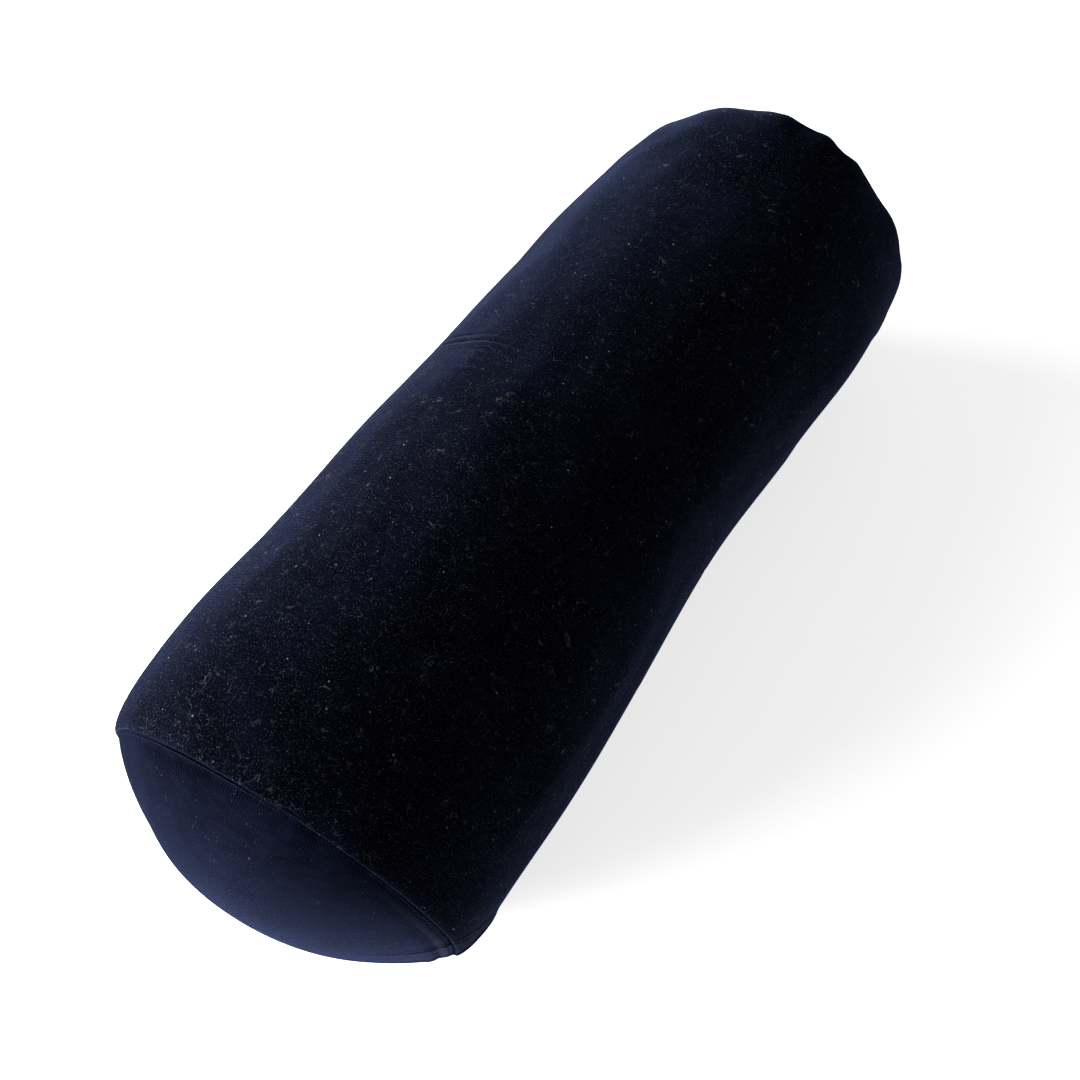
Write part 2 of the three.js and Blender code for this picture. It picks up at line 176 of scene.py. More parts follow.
print(f"wall at the waist {plain_wall(0.013) * 1000:.1f} mm, at full {plain_wall(0.13) * 1000:.1f}")

# %% [markdown]
# ## Swells, creases and puckers
# Stuffing pushes the velvet out where it is thick and lets it sink where it is thin. A few thin
# creases stay at the waist. At the far rim the seam was sewn with the cloth slightly too long, so
# it puckers into scallops, and past the near end of the zip a narrow double fold drifts up towards
# the corner.

# %% Swells and creases
SWELLS = (  # height in mm, place along in mm, direction in degrees, length in mm, breadth in degrees
    (2.9, -20, 27, 66, 62),
    (4.4, -135, 27, 42, 62),
    (-3.6, 160, 27, 36, 50),
    (-1.6, 85, 27, 35, 60),
    (0.5, 155, 175, 40, 50),
    (-3.0, 35, 190, 50, 60),
    (-0.9, -25, 190, 30, 60),
    (1.5, -105, 190, 35, 60),
    (6.6, 172, 91, 28, 34),
    (2.4, 124, 173, 26, 13),
    (0.9, -75, 100, 40, 34),
    (-0.8, 62, 96, 34, 30),
    (0.7, 110, 132, 26, 34),
    (-0.9, -128, 118, 26, 30),
    (0.8, 70, 305, 45, 40),
)
CREASES = (  # depth in mm, place along in mm, width in mm, direction and breadth in degrees
    (0.42, 14.5, 0.8, 66, 34),
    (0.22, 13.5, 1.5, 150, 55),
    (0.34, 9.0, 0.8, 84, 26),
    (0.3, 18.5, 0.8, 44, 18),
    (0.4, 14.0, 2.0, 270, 70),
)
CREASE_SWAY = ((1.1, 2.3, 30), (0.5, 7, 0))  # mm, waves round the roll, start in degrees
CREASE_LIP, LIP_WIDTH = 0.2, 2.6  # share of a crease's depth, and of its width


def creases(x, angle):
    """The thin folds that stay in the velvet at the waist."""
    total = np.zeros(np.broadcast(x, angle).shape)
    sway = sum(size * np.sin(np.radians(waves * angle + start)) for size, waves, start in CREASE_SWAY)
    for depth, place, width, direction, breadth in CREASES:
        away = (x * 1000 - place - sway) / width
        groove = np.exp(-away ** 2) - CREASE_LIP * np.exp(-((away / LIP_WIDTH) ** 2))
        total = total - depth * MM * facing(angle, direction, breadth) * groove
    return total


print("swells", len(SWELLS), "creases", len(CREASES))

# %% Scallops at the rims
# Directions of the scallops' peaks in degrees, unevenly apart as hand-fed cloth is.
PEAKS = np.array((8, 30, 52, 75, 95, 109, 122, 149, 173, 198, 216, 238, 262, 283, 305, 328, 347, 368))
SCALLOP_HEIGHT = 1.5 * MM
SCALLOP_REACH = 15 * MM
SCALLOP_PITCH = 20.0
SCALLOP_ZONE = (106, 46)
NEAR_SCALLOP_HEIGHT = 0.3 * MM
NEAR_SCALLOP_TURN = 50


def scallops(angle, distance, height=SCALLOP_HEIGHT):
    """Puckers at a rim: the cloth sags between rounded peaks, less and less away from the seam."""
    turned = (angle - PEAKS[0]) % 360.0 + PEAKS[0]
    slot = np.clip(np.searchsorted(PEAKS, turned, side="right") - 1, 0, len(PEAKS) - 2)
    gap = PEAKS[slot + 1] - PEAKS[slot]
    share = (turned - PEAKS[slot]) / gap
    sag = 0.35 - np.sin(math.pi * share) ** 1.6 * (gap / SCALLOP_PITCH)
    strong = 0.3 + 0.7 * facing(angle, *SCALLOP_ZONE)
    return height * sag * strong * np.exp(-((distance / SCALLOP_REACH) ** 1.3))


print("scallops", len(PEAKS) - 1)

# %% The double fold and all the relief together
FOLD_START = -152 * MM
FOLD_DRIFT = 0.76
FOLD_RISE = 6.0
FOLD_PLACE = 1.9 * MM
FOLD_WIDTH = 0.9 * MM
FOLD_HEIGHT = 0.6 * MM
FOLD_VALLEY = 0.8


def corner_fold(x, angle):
    """The double fold between the zip and the near corner: distance across it, and its strength."""
    past = np.maximum(FOLD_START - x, 0) / MM
    across = np.radians(turn_from(angle, ZIP_ANGLE - FOLD_DRIFT * past)) * RADIUS
    return across, 1 - np.exp(-((past / FOLD_RISE) ** 2))


def relief(x, angle):
    """How far the velvet stands out of the plain wall."""
    total = np.zeros(np.broadcast(x, angle).shape)
    for height, place, direction, length, breadth in SWELLS:
        along = bump(x, place * MM, length * MM)
        total = total + height * MM * along * facing(angle, direction, breadth)
    total = total + creases(x, angle)
    across, strong = corner_fold(x, angle)
    fold = bump(np.abs(across), FOLD_PLACE, FOLD_WIDTH) - FOLD_VALLEY * bump(across, 0, FOLD_WIDTH)
    total = total + FOLD_HEIGHT * strong * fold
    total = total + scallops(angle, HALF_BODY - x)
    return total + scallops(angle + NEAR_SCALLOP_TURN, HALF_BODY + x, NEAR_SCALLOP_HEIGHT)


print(f"relief on top of the waist {float(relief(0.013, 90.0)) * 1000:.1f} mm")

# %% [markdown]
# ## Where the zip pulls the cloth in
# A concealed zip doesn't stretch, so the stuffed cloth bulges on both sides of it and the zip lies
# in a shallow valley at its own radius. The closed ends of the same seam have no tape, and there
# the two folded edges stand up as a double ridge, clear of the room that the pull tab needs.

# %% The valley and the double ridge along the long seam
VALLEY_WIDTH = 8.5 * MM
RIDGE_HEIGHT = 1.0 * MM
RIDGE_PLACE = 2.1 * MM
RIDGE_WIDTH = 1.3 * MM
GROOVE_WIDTH = 1.4 * MM
GROOVE_SHARE = 0.9
RIDGE_LOST = 0.9
PULL_ROOM = 18 * MM
STOP_ROOM = 2 * MM


def between(x, start, end, soft):
    """1 from start to end and 0 beyond them, changing over a soft length at both."""
    return 1 / (1 + np.exp(-(x - start) / soft)) / (1 + np.exp((x - end) / soft))


def zip_reach(x):
    """1 wherever the zip or its pull can lie, and 0 on the closed ends of the seam."""
    return between(x, zip_near - PULL_ROOM, zip_far + STOP_ROOM, 1.5 * MM)


def seam_line(x, angle, radius):
    """Draws the cloth in along the zip, and raises a ridge on both sides of the closed seam."""
    across = np.radians(turn_from(angle, ZIP_ANGLE)) * RADIUS
    valley = np.exp(-((across / VALLEY_WIDTH) ** 4))
    pulled = radius - valley * np.maximum(radius - RADIUS, 0)
    opened = zip_reach(x)
    pulled = radius + (pulled - radius) * opened
    groove = GROOVE_SHARE * bump(across, 0, GROOVE_WIDTH)
    ridge = bump(np.abs(across), RIDGE_PLACE, RIDGE_WIDTH) - groove
    return pulled + RIDGE_HEIGHT * ridge * (1 - RIDGE_LOST * opened)


def wall(x, angle):
    """The velvet's radius anywhere on the body."""
    return seam_line(x, angle, plain_wall(x) + relief(x, angle))


print(f"zip valley at its far end {(plain_wall(zip_far) - RADIUS) * 1000:.1f} mm deep")

# %% [markdown]
# ## From the roll to the table
# The last step is the same for every soft piece: the underside is pressed flat by the pillow's own
# weight, the ends lean a little because the stuffing has shifted, and the whole is set on its axis.

# %% Pressing, leaning and placing
BEND = 1.4 * MM


def placed(x, angle, radius, depth=0.0):
    """Points of the pillow in the model's own frame, from along, round, radius and depth."""
    turn = np.radians(angle)
    side = radius * np.cos(turn)
    up = radius * np.sin(turn)
    floor = depth - AXIS_HEIGHT
    blend = np.maximum(FLAT_BLEND - np.abs(up - floor), 0)
    up = np.maximum(up, floor) + blend ** 2 / (4 * FLAT_BLEND)
    share = np.clip(x / HALF_BODY, -1.2, 1.2)
    lean = -side * (NEAR_LEAN * np.maximum(-share, 0) ** LEAN_POWER
                    + FAR_LEAN * np.maximum(share, 0) ** LEAN_POWER)
    bend = -BEND * np.minimum(share ** 2, 1)
    point = (x + lean + middle_x, side + bend + AXIS_Y, up + AXIS_HEIGHT)
    return np.stack(np.broadcast_arrays(*point), axis=-1)


print("top of the waist", np.round(placed(0.013, 90.0, wall(0.013, 90.0)) * 1000, 1), "mm")

# %% [markdown]
# ## Meshes from rows and columns
# Cloth follows rows and columns, so every soft piece is a grid of points. A helper turns a grid
# into a mesh, closes it round where it should, fills its ends, and stores flat cloth coordinates in
# metres, so that ribs and lint keep their real size wherever they are. It can also store how much
# painted highlight each point takes, for the crests of folds.

# %% Grid helper
CLOTH_MAP = "cloth"
# Point attribute for the painted highlight: paler colour on the crests of folds, where they catch the
# light.
PAINTED_HIGHLIGHT_LAYER = "wear"


def grid_mesh(name, points, flat, caps="none", flip=False, wear=None):
    """A mesh from closed rows of points, with ends that are open (none), flat (ring), brought to
    a middle point (pole), or joined to each other (loop)."""
    rows, columns = points.shape[:2]
    index = np.arange(rows * columns).reshape(rows, columns)
    lower = np.vstack([index, index[:1]]) if caps == "loop" else index
    beside = np.roll(lower, -1, axis=1)
    faces = np.stack([lower[:-1], beside[:-1], beside[1:], lower[1:]], axis=-1)
    faces = faces.reshape(-1, 4).tolist()
    vertices = points.reshape(-1, 3)
    flat_points = flat.reshape(-1, 2)
    if caps == "ring":
        half = columns // 2
        for row, order in ((0, -1), (rows - 1, 1)):
            for k in range(half - 1):
                outer = (index[row, k], index[row, k + 1])
                inner = (index[row, columns - 2 - k], index[row, columns - 1 - k])
                faces.append([int(v) for v in (*outer, *inner)[::order]])
    if caps == "pole":
        for row, order in ((0, 1), (rows - 1, -1)):
            pole = len(vertices)
            vertices = np.vstack([vertices, points[row].mean(axis=0)])
            flat_points = np.vstack([flat_points, flat[row].mean(axis=0)])
            for k in range(columns):
                corner = [pole, int(index[row, (k + 1) % columns]), int(index[row, k])]
                faces.append(corner[::order])
    if flip:
        faces = [face[::-1] for face in faces]
    mesh = bpy.data.meshes.new(name)
    mesh.from_pydata(vertices.tolist(), [], faces)
    layer = mesh.uv_layers.new(name=CLOTH_MAP)
    corners = np.empty(len(mesh.loops), dtype=np.int32)
    mesh.loops.foreach_get("vertex_index", corners)
    layer.data.foreach_set("uv", flat_points[corners].astype(np.float32).ravel())
    # wear is the painted highlight on the crests of folds, kept as a point attribute.
    if wear is not None:
        worn = np.zeros(len(vertices), dtype=np.float32)
        worn[:rows * columns] = wear.ravel()
        mesh.attributes.new(PAINTED_HIGHLIGHT_LAYER, "FLOAT", "POINT").data.foreach_set("value", worn)
    mesh.shade_smooth()
    piece = bpy.data.objects.new(name, mesh)
    bpy.context.scene.collection.objects.link(piece)
    print(f"{name}: {len(mesh.vertices)} points, {len(mesh.polygons)} faces")
    return piece


def steps_between(stops):
    """Positions that run through stops, each stretch with a spacing of its own."""
    places = [stops[0][0]]
    for (start, spacing), (end, _) in zip(stops[:-1], stops[1:]):
        count = max(1, round((end - start) / spacing))
        places.extend(start + (end - start) * (k + 1) / count for k in range(count))
    return np.array(places)


print("grid helper ready")

# %% [markdown]
# ## Let the stuffing push
# Blender's cloth can blow up a closed shape as stuffing does. A coarse copy of the whole pillow,
# drawn in slightly at its rims, is inflated for twenty steps with no gravity. The large shape is
# already right, so only a small share of the uneven part of what the cloth does is kept. It gives
# the rims a soft, irregular pull that a formula lacks.

# %% Cloth simulation on a coarse copy
SIM_COLUMNS = 104
SIM_STEPS = 20
SIM_INSET = 0.985
SIM_DOME = 28 * MM
SIM_CAP = 0.8 * MM
SIM_GAIN = 0.08


def sim_grid():
    """Along and round positions of the coarse copy's wall."""
    x = steps_between(((-HALF_BODY, 4 * MM), (-140 * MM, 8 * MM), (140 * MM, 4 * MM), (HALF_BODY, 1)))
    angle = np.arange(SIM_COLUMNS) * 360.0 / SIM_COLUMNS
    return x, angle


def inflate(piece, rim_rows):
    """Inflates the piece as cloth and gives back where its points come to lie."""
    group = piece.vertex_groups.new(name="drawn in")
    for row, weight in rim_rows:
        group.add(list(range(row * SIM_COLUMNS, (row + 1) * SIM_COLUMNS)), weight, "REPLACE")
    cloth = piece.modifiers.new("stuffing", "CLOTH")
    settings = cloth.settings
    settings.quality = 6
    settings.mass = 0.3
    settings.tension_stiffness = 12
    settings.compression_stiffness = 12
    settings.shear_stiffness = 4
    settings.bending_stiffness = 0.15
    settings.use_pressure = True
    settings.uniform_pressure_force = 4
    settings.vertex_group_shrink = group.name
    settings.shrink_min = 0.0
    settings.shrink_max = 0.07
    settings.effector_weights.gravity = 0
    cloth.point_cache.frame_start = 1
    cloth.point_cache.frame_end = SIM_STEPS
    for step in range(1, SIM_STEPS + 1):
        bpy.context.scene.frame_set(step)
    shaped = piece.evaluated_get(bpy.context.evaluated_depsgraph_get())
    moved = np.empty(len(shaped.data.vertices) * 3)
    shaped.data.vertices.foreach_get("co", moved)
    return moved.reshape(-1, 3)


def stuffed_relief():
    """The uneven part of what the stuffing does to the wall, as a table over along and round."""
    x, angle = sim_grid()
    across, around = np.meshgrid(x, angle, indexing="ij")
    rows = [placed(across, around, wall(across, around) * SIM_INSET)]
    shares = np.array([0.93, 0.8, 0.62, 0.42, 0.22])
    for side, order in ((-1, slice(None, None, -1)), (1, slice(None))):
        rim = wall(np.full_like(angle, side * HALF_BODY), angle) * SIM_INSET
        ring = [placed(np.full_like(angle, side * (HALF_BODY + SIM_DOME * (1 - s * s) ** 0.75)),
                       angle, rim * s) for s in shares[order]]
        rows.insert(0 if side < 0 else len(rows), np.array(ring))
    points = np.concatenate(rows)
    coarse = grid_mesh("coarse_copy", points, np.zeros(points.shape[:2] + (2,)), caps="pole",
                       flip=True)
    first = len(shares)
    last = first + len(x) - 1
    moved = inflate(coarse, [(first, 1.0), (first + 1, 0.5), (last, 1.0), (last - 1, 0.5)])
    grid_points = points.reshape(-1, 3)
    shift = (moved[:len(grid_points)] - grid_points).reshape(points.shape)
    shift = shift[first:last + 1]
    outward = np.stack([np.zeros_like(around), np.cos(np.radians(around)),
                        np.sin(np.radians(around))], axis=-1)
    radial = (shift * outward).sum(axis=-1)
    # The mean of each ring and the two widest waves round it are large forms, and are taken out.
    radial = radial - radial.mean(axis=1, keepdims=True)
    for wave in (1, 2):
        for shape in (np.cos, np.sin):
            form = shape(np.radians(wave * angle))
            radial = radial - (radial * form).mean(axis=1, keepdims=True) * 2 * form
    bpy.data.objects.remove(coarse)
    bpy.context.scene.frame_set(1)
    return x, np.clip(radial * SIM_GAIN, -SIM_CAP, SIM_CAP)


stuffed_x, stuffed_table = stuffed_relief()
print(f"stuffing moves the cloth by up to {np.abs(stuffed_table).max() * 1000:.2f} mm")

# %% Reading the simulated relief anywhere on the body
CALM_WIDTH = 14 * MM


def stuffed(x, angle):
    """The simulated relief between its coarse points."""
    x, angle = np.broadcast_arrays(np.asarray(x, float), np.asarray(angle, float))
    row = np.interp(x, stuffed_x, np.arange(len(stuffed_x)))
    column = (angle % 360.0) / 360.0 * SIM_COLUMNS
    r0 = np.minimum(np.floor(row).astype(int), len(stuffed_x) - 2)
    c0 = np.floor(column).astype(int) % SIM_COLUMNS
    c1 = (c0 + 1) % SIM_COLUMNS
    down = row - r0
    over = column - np.floor(column)
    over = over * over * (3 - 2 * over)
    near = stuffed_table[r0, c0] * (1 - over) + stuffed_table[r0, c1] * over
    far = stuffed_table[r0 + 1, c0] * (1 - over) + stuffed_table[r0 + 1, c1] * over
    return near * (1 - down) + far * down


def velvet_radius(x, angle):
    """The finished radius: the drawn wall with the simulated relief, calm beside the zip."""
    across = np.radians(turn_from(angle, ZIP_ANGLE)) * RADIUS
    calm = 1 - np.exp(-((across / CALM_WIDTH) ** 4))
    return wall(x, angle) + stuffed(x, angle) * calm


print("radius at the near rim", np.round(velvet_radius(-0.17, np.arange(0, 360, 90)) * 1000, 1))

# %% [markdown]
# ## The body of the cover
# The body is one rectangle of velvet, rolled into a tube and open along the zip. It is drawn as a
# closed shell with its real thickness: rows run along the roll, and each row goes round outside,
# over the folded edge at the slit and back inside. At both rims the cloth rolls over in a small
# curl and runs into the seam. The gap between this curl and the panel's makes the dark line that
# parts body and panel.

# %% The path of the cloth over a rim
ROLL_RADIUS = 0.8 * MM
INNER_ROLL = 0.05 * MM
ROLL_STEPS = 8
ROLL_TURN = math.radians(135)
ALLOWANCE = 5 * MM
WALL_END = math.radians(75)
SLOPE = math.sqrt(0.5)


def rim_path(side):
    """Steps past the end of the wall: (how far out, how far in) of the outer and inner faces."""
    shoulder = NEAR_SHOULDER if side < 0 else FAR_SHOULDER
    drop = RADIUS * (1 - (NEAR_RIM if side < 0 else FAR_RIM))
    start = math.atan(drop * math.sin(WALL_END) / (shoulder * math.cos(WALL_END)))
    turns = np.linspace(start, ROLL_TURN, ROLL_STEPS + 1)[1:]
    inner = max(ROLL_RADIUS - CLOTH, INNER_ROLL)
    outer_path = [(ROLL_RADIUS * (math.sin(t) - math.sin(start)),
                   ROLL_RADIUS * (math.cos(start) - math.cos(t))) for t in turns]
    inner_path = [(inner * math.sin(t) - ROLL_RADIUS * math.sin(start),
                   ROLL_RADIUS * math.cos(start) - inner * math.cos(t)) for t in turns]
    for path in (outer_path, inner_path):
        last = path[-1]
        for step in (ALLOWANCE * 0.4 * SLOPE, ALLOWANCE * SLOPE):
            path.append((last[0] - step, last[1] + step))
    return shoulder * (1 - math.sin(WALL_END)), outer_path, inner_path


print("steps over a rim", len(rim_path(-1)[1]))

# %% Rows and columns of the body
SLIT_HALF = 0.8 * MM
CLOSED_HALF = 0.12 * MM
LIP = CLOTH / 2
LIP_TURNS = (45, 90, 135)
# Widths of the painted highlight on the crests of the double ridge and of the corner fold.
PAINTED_HIGHLIGHT_RIDGE = 0.75 * MM
PAINTED_HIGHLIGHT_FOLD = 0.7 * MM


def slit_half_width(x):
    """Half the gap between the two folded edges: open over the zip, closed beyond it."""
    return CLOSED_HALF + (SLIT_HALF - CLOSED_HALF) * between(x, zip_near, zip_far, 0.8 * MM)


def body_columns():
    """Shares of the way round from one folded edge to the other, close together at the edges."""
    girth = 2 * math.pi * RADIUS
    places = steps_between(((0, 0.45 * MM), (7 * MM, 1.4 * MM), (16 * MM, 2.1 * MM),
                            (girth - 28 * MM, 1.0 * MM), (girth - 7 * MM, 0.45 * MM), (girth, 1)))
    return places / girth


def body_rows():
    """Places along the wall, close together at the rims and at the creases."""
    near_end = -HALF_BODY + rim_path(-1)[0]
    far_end = HALF_BODY - rim_path(1)[0]
    return steps_between(((near_end, 0.5 * MM), (-170 * MM, 1.5 * MM), (-150 * MM, 4.5 * MM),
                          (2 * MM, 0.6 * MM), (24 * MM, 4.5 * MM), (150 * MM, 1.6 * MM),
                          (169 * MM, 0.6 * MM), (far_end, 1)))


shares = body_columns()
wall_rows = body_rows()
print("rows", len(wall_rows), "columns", len(shares))

# %% Build the body
def body_row(x_wall, out=(0.0, 0.0), into=(0.0, CLOTH)):
    """One closed loop of the shell, outside from edge to edge and back inside. Gives its points,
    its cloth coordinates and how much painted highlight it takes on the crests of folds."""
    half = slit_half_width(x_wall)
    side = -1 if x_wall < 0 else 1
    start = np.degrees((half + LIP) / RADIUS)
    angle = ZIP_ANGLE + start + shares * (360 - 2 * start)
    radius = velvet_radius(x_wall, angle)
    outer = placed(x_wall + side * out[0], angle, radius - out[1], out[1])
    inner = placed(x_wall + side * into[0], angle, radius - into[1], into[1])
    lips = []
    for column, way in ((-1, 1), (0, -1)):
        tip = angle[column] + way * np.degrees(LIP / RADIUS)
        edge = []
        for turn in LIP_TURNS:
            swing = math.radians(turn)
            blend = (1 - math.cos(swing)) / 2
            away = angle[column] + (tip - angle[column]) * math.sin(swing)
            along = x_wall + side * (out[0] + (into[0] - out[0]) * blend)
            sink = out[1] + (into[1] - out[1]) * blend
            edge.append(placed(along, away, radius[column] - sink, sink))
        lips.append(np.array(edge))
    loop = np.concatenate([outer, lips[0], inner[::-1], lips[1][::-1]])
    lip = len(LIP_TURNS)
    run = np.concatenate([angle, [angle[-1]] * lip, angle[::-1], [angle[0]] * lip])
    flat = np.stack([np.radians(run) * RADIUS, np.full_like(run, x_wall + side * out[0])], axis=-1)
    across = np.radians(turn_from(run, ZIP_ANGLE)) * RADIUS
    # The painted highlight: paler colour on the crests of the double ridge and of the corner fold.
    ridge = bump(np.abs(across), RIDGE_PLACE, PAINTED_HIGHLIGHT_RIDGE) * (1 - zip_reach(x_wall))
    across, strong = corner_fold(x_wall, run)
    return loop, flat, np.maximum(ridge, strong * bump(np.abs(across), FOLD_PLACE, PAINTED_HIGHLIGHT_FOLD))


def body_loops():
    """All rows of the body, from the near seam allowance to the far one."""
    loops = []
    for side in (-1, 1):
        _, outer_path, inner_path = rim_path(side)
        end = wall_rows[0] if side < 0 else wall_rows[-1]
        past = [body_row(end, out, into) for out, into in zip(outer_path, inner_path)]
        if side < 0:
            loops.extend(past[::-1])
            loops.extend(body_row(x) for x in wall_rows)
        else:
            loops.extend(past)
    return loops


# The third part of each row is its painted highlight on the crests of folds.
body_points, body_flat, body_painted_highlight = (np.array(part) for part in zip(*body_loops()))
body = grid_mesh("velvet_body", body_points, body_flat, wear=body_painted_highlight)
print("triangles about", 2 * len(body.data.polygons))

# %% Close the ends of the shell
def close_ends(piece, rows, columns, outer_count):
    """Joins the outer and inner faces along the first and last rows."""
    sheet = bmesh.new()
    sheet.from_mesh(piece.data)
    sheet.verts.ensure_lookup_table()
    for row, order in ((0, -1), (rows - 1, 1)):
        base = row * columns
        inner_last = 2 * outer_count + 2
        for k in range(outer_count - 1):
            ring = [base + k, base + k + 1, base + inner_last - k - 1, base + inner_last - k]
            face = sheet.faces.new([sheet.verts[v] for v in ring[::order]])
            face.smooth = True
        for ring in ([outer_count - 1 + k for k in range(5)],
                     [0, columns - 1, columns - 2, columns - 3, inner_last]):
            wind = ring if ring[0] else ring[::-1]
            face = sheet.faces.new([sheet.verts[base + v] for v in wind[::order]])
            face.smooth = True
    bmesh.ops.recalc_face_normals(sheet, faces=sheet.faces)
    sheet.to_mesh(piece.data)
    open_edges = sum(1 for edge in sheet.edges if len(edge.link_faces) != 2)
    sheet.free()
    print(piece.name, "open edges", open_edges)


close_ends(body, *body_points.shape[:2], len(shares))
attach(body, "pillow")
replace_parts(body, "cover_tube")
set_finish(body, "cover_velvet")

# %% [markdown]
# ## The end panels
# Each end is a disc of velvet that stuffing has pushed into a low dome. Its edge rolls over and
# runs into the seam beside the body's. Where the disc was eased into the tube, short gathers stand
# beside the seam, and one long crease runs in from the corner under the zip.

# %% A panel's profile from its middle to its seam and back inside
PANEL_ROLL = 1.0 * MM
PANEL_STEEP = math.radians(62)
PANEL_CLOTH = 0.92
SEAM_GAP = 0.4 * MM
NEAR_BULGE, NEAR_POWER = 29 * MM, 0.86
FAR_BULGE, FAR_POWER = 34 * MM, 0.74
DOME_ROWS = 30
DOME_END = 0.99


def panel_profile(side):
    """(out, radius, sink) of a panel: out is beyond the body's rim, sink is under its surface."""
    bulge, power = (NEAR_BULGE, NEAR_POWER) if side < 0 else (FAR_BULGE, FAR_POWER)
    wall_end, outer_path, _ = rim_path(side)
    seam_out, seam_in = outer_path[ROLL_STEPS - 1]
    rim = RADIUS * (NEAR_RIM if side < 0 else FAR_RIM * (1 + TAPER))
    lost = RADIUS * (1 - (NEAR_RIM if side < 0 else FAR_RIM)) * math.cos(WALL_END)
    centre_out = -wall_end + seam_out + (PANEL_ROLL + SEAM_GAP) * SLOPE
    centre_radius = rim + lost - seam_in - (PANEL_ROLL + SEAM_GAP) * SLOPE
    end_out = centre_out + PANEL_ROLL * math.cos(PANEL_STEEP)
    end_radius = centre_radius + PANEL_ROLL * math.sin(PANEL_STEEP)
    whole = end_radius / DOME_END
    rest = (1 - DOME_END ** 2) ** power
    height = (bulge - end_out) / (1 - rest)
    share = np.sin(np.linspace(0.02, math.asin(DOME_END), DOME_ROWS))
    profile = [(end_out + height * ((1 - s * s) ** power - rest), whole * s) for s in share]
    for turn in np.linspace(PANEL_STEEP, ROLL_TURN, 7)[1:]:
        profile.append((centre_out + PANEL_ROLL * math.cos(turn),
                        centre_radius + PANEL_ROLL * math.sin(turn)))
    last = profile[-1]
    for step in (ALLOWANCE * 0.4 * SLOPE, ALLOWANCE * SLOPE):
        profile.append((last[0] - step, last[1] - step))
    return np.array(profile), rim


def thick_profile(profile):
    """The same profile with its inner face, as one line from the middle out and back again."""
    along = np.gradient(profile, axis=0)
    along = along / np.linalg.norm(along, axis=1, keepdims=True)
    inward = np.stack([-along[:, 1], along[:, 0]], axis=-1)
    inner = profile + inward * CLOTH * PANEL_CLOTH
    inner[:, 1] = np.maximum(inner[:, 1], profile[0, 1] * 0.5)
    return np.concatenate([profile, inner[::-1]])


near_profile, near_rim = panel_profile(-1)
print("panel profile points", len(near_profile), f"rim {near_rim * 1000:.1f} mm")

# %% Gathers and the long crease of a panel
# Zones are a direction and a breadth in degrees, and the pitch is in degrees. The long crease starts
# CREASE_START of the way out, comes in by CREASE_RUN with each degree past CREASE_CORNER, and has a
# painted highlight beside it, on its outer side. Relief fades over ROLL_FADE rows along the rolled edge.
HOLLOW_ZONE, HOLLOW_DEPTH = (8, 48), 2.6 * MM
GATHER_ZONE, GATHER_PITCH = (74, 24), 1.0
GATHER_HEIGHT, GATHER_REACH = 0.6 * MM, 2.4 * MM
GATHER_SINK, SINK_REACH = 1.4 * MM, 2.0 * MM
EDGE_SINK, EDGE_REACH = 0.9 * MM, 2.6 * MM
LONG_CREASE_ZONE, LONG_CREASE_DEPTH, LONG_CREASE_WIDTH = (204, 38), 0.7 * MM, 1.3 * MM
CREASE_START, CREASE_RUN, CREASE_CORNER = 0.957, 0.013, 226
# Place and width of the painted highlight beside the long crease.
PAINTED_HIGHLIGHT_CREASE = (1.1 * MM, 0.8 * MM)
ROLL_FADE = 7


def crease_share(angle):
    """How far out the long crease lies: it starts at the corner under the zip and runs inwards."""
    return CREASE_START - CREASE_RUN * np.maximum(turn_from(angle, CREASE_CORNER), 0)


def panel_relief(side, share, angle):
    """How far a panel's surface stands out, over the share of the way to its rim and round it."""
    to_rim = (1 - share) * RADIUS
    ease = 0.9 * MM * scallops(angle, to_rim, 1.0) if side > 0 else 0.25 * scallops(angle, to_rim)
    total = ease + 0.6 * MM * bump(share, 0.55, 0.3) * np.sin(np.radians(2 * angle + 35))
    if side < 0:
        total = total - HOLLOW_DEPTH * bump(share, 0.78, 0.3) * facing(angle, *HOLLOW_ZONE)
        total = total - EDGE_SINK * np.exp(-to_rim / EDGE_REACH)
        zone = facing(angle, *GATHER_ZONE)
        uneven = 0.6 + 0.4 * np.sin(np.radians(angle * 17))
        gather = np.sin(np.radians(angle * 360 / GATHER_PITCH)) * uneven
        total = total + GATHER_HEIGHT * zone * gather * np.exp(-to_rim / GATHER_REACH)
        total = total - GATHER_SINK * zone * np.exp(-to_rim / SINK_REACH)
        away = (share - crease_share(angle)) * RADIUS / LONG_CREASE_WIDTH
        groove = np.exp(-away ** 2) - 0.6 * np.exp(-((away + 2.2) ** 2))
        total = total - LONG_CREASE_DEPTH * facing(angle, *LONG_CREASE_ZONE) * groove
    return total


def panel_columns(side):
    """Directions of a panel's columns, close together where it is gathered."""
    if side > 0:
        return np.arange(0, 360, 1.0)
    return steps_between(((-60, 1.2), (46, 0.25), (104, 1.0), (160, 0.7), (240, 1.2), (300, 1)))[:-1]


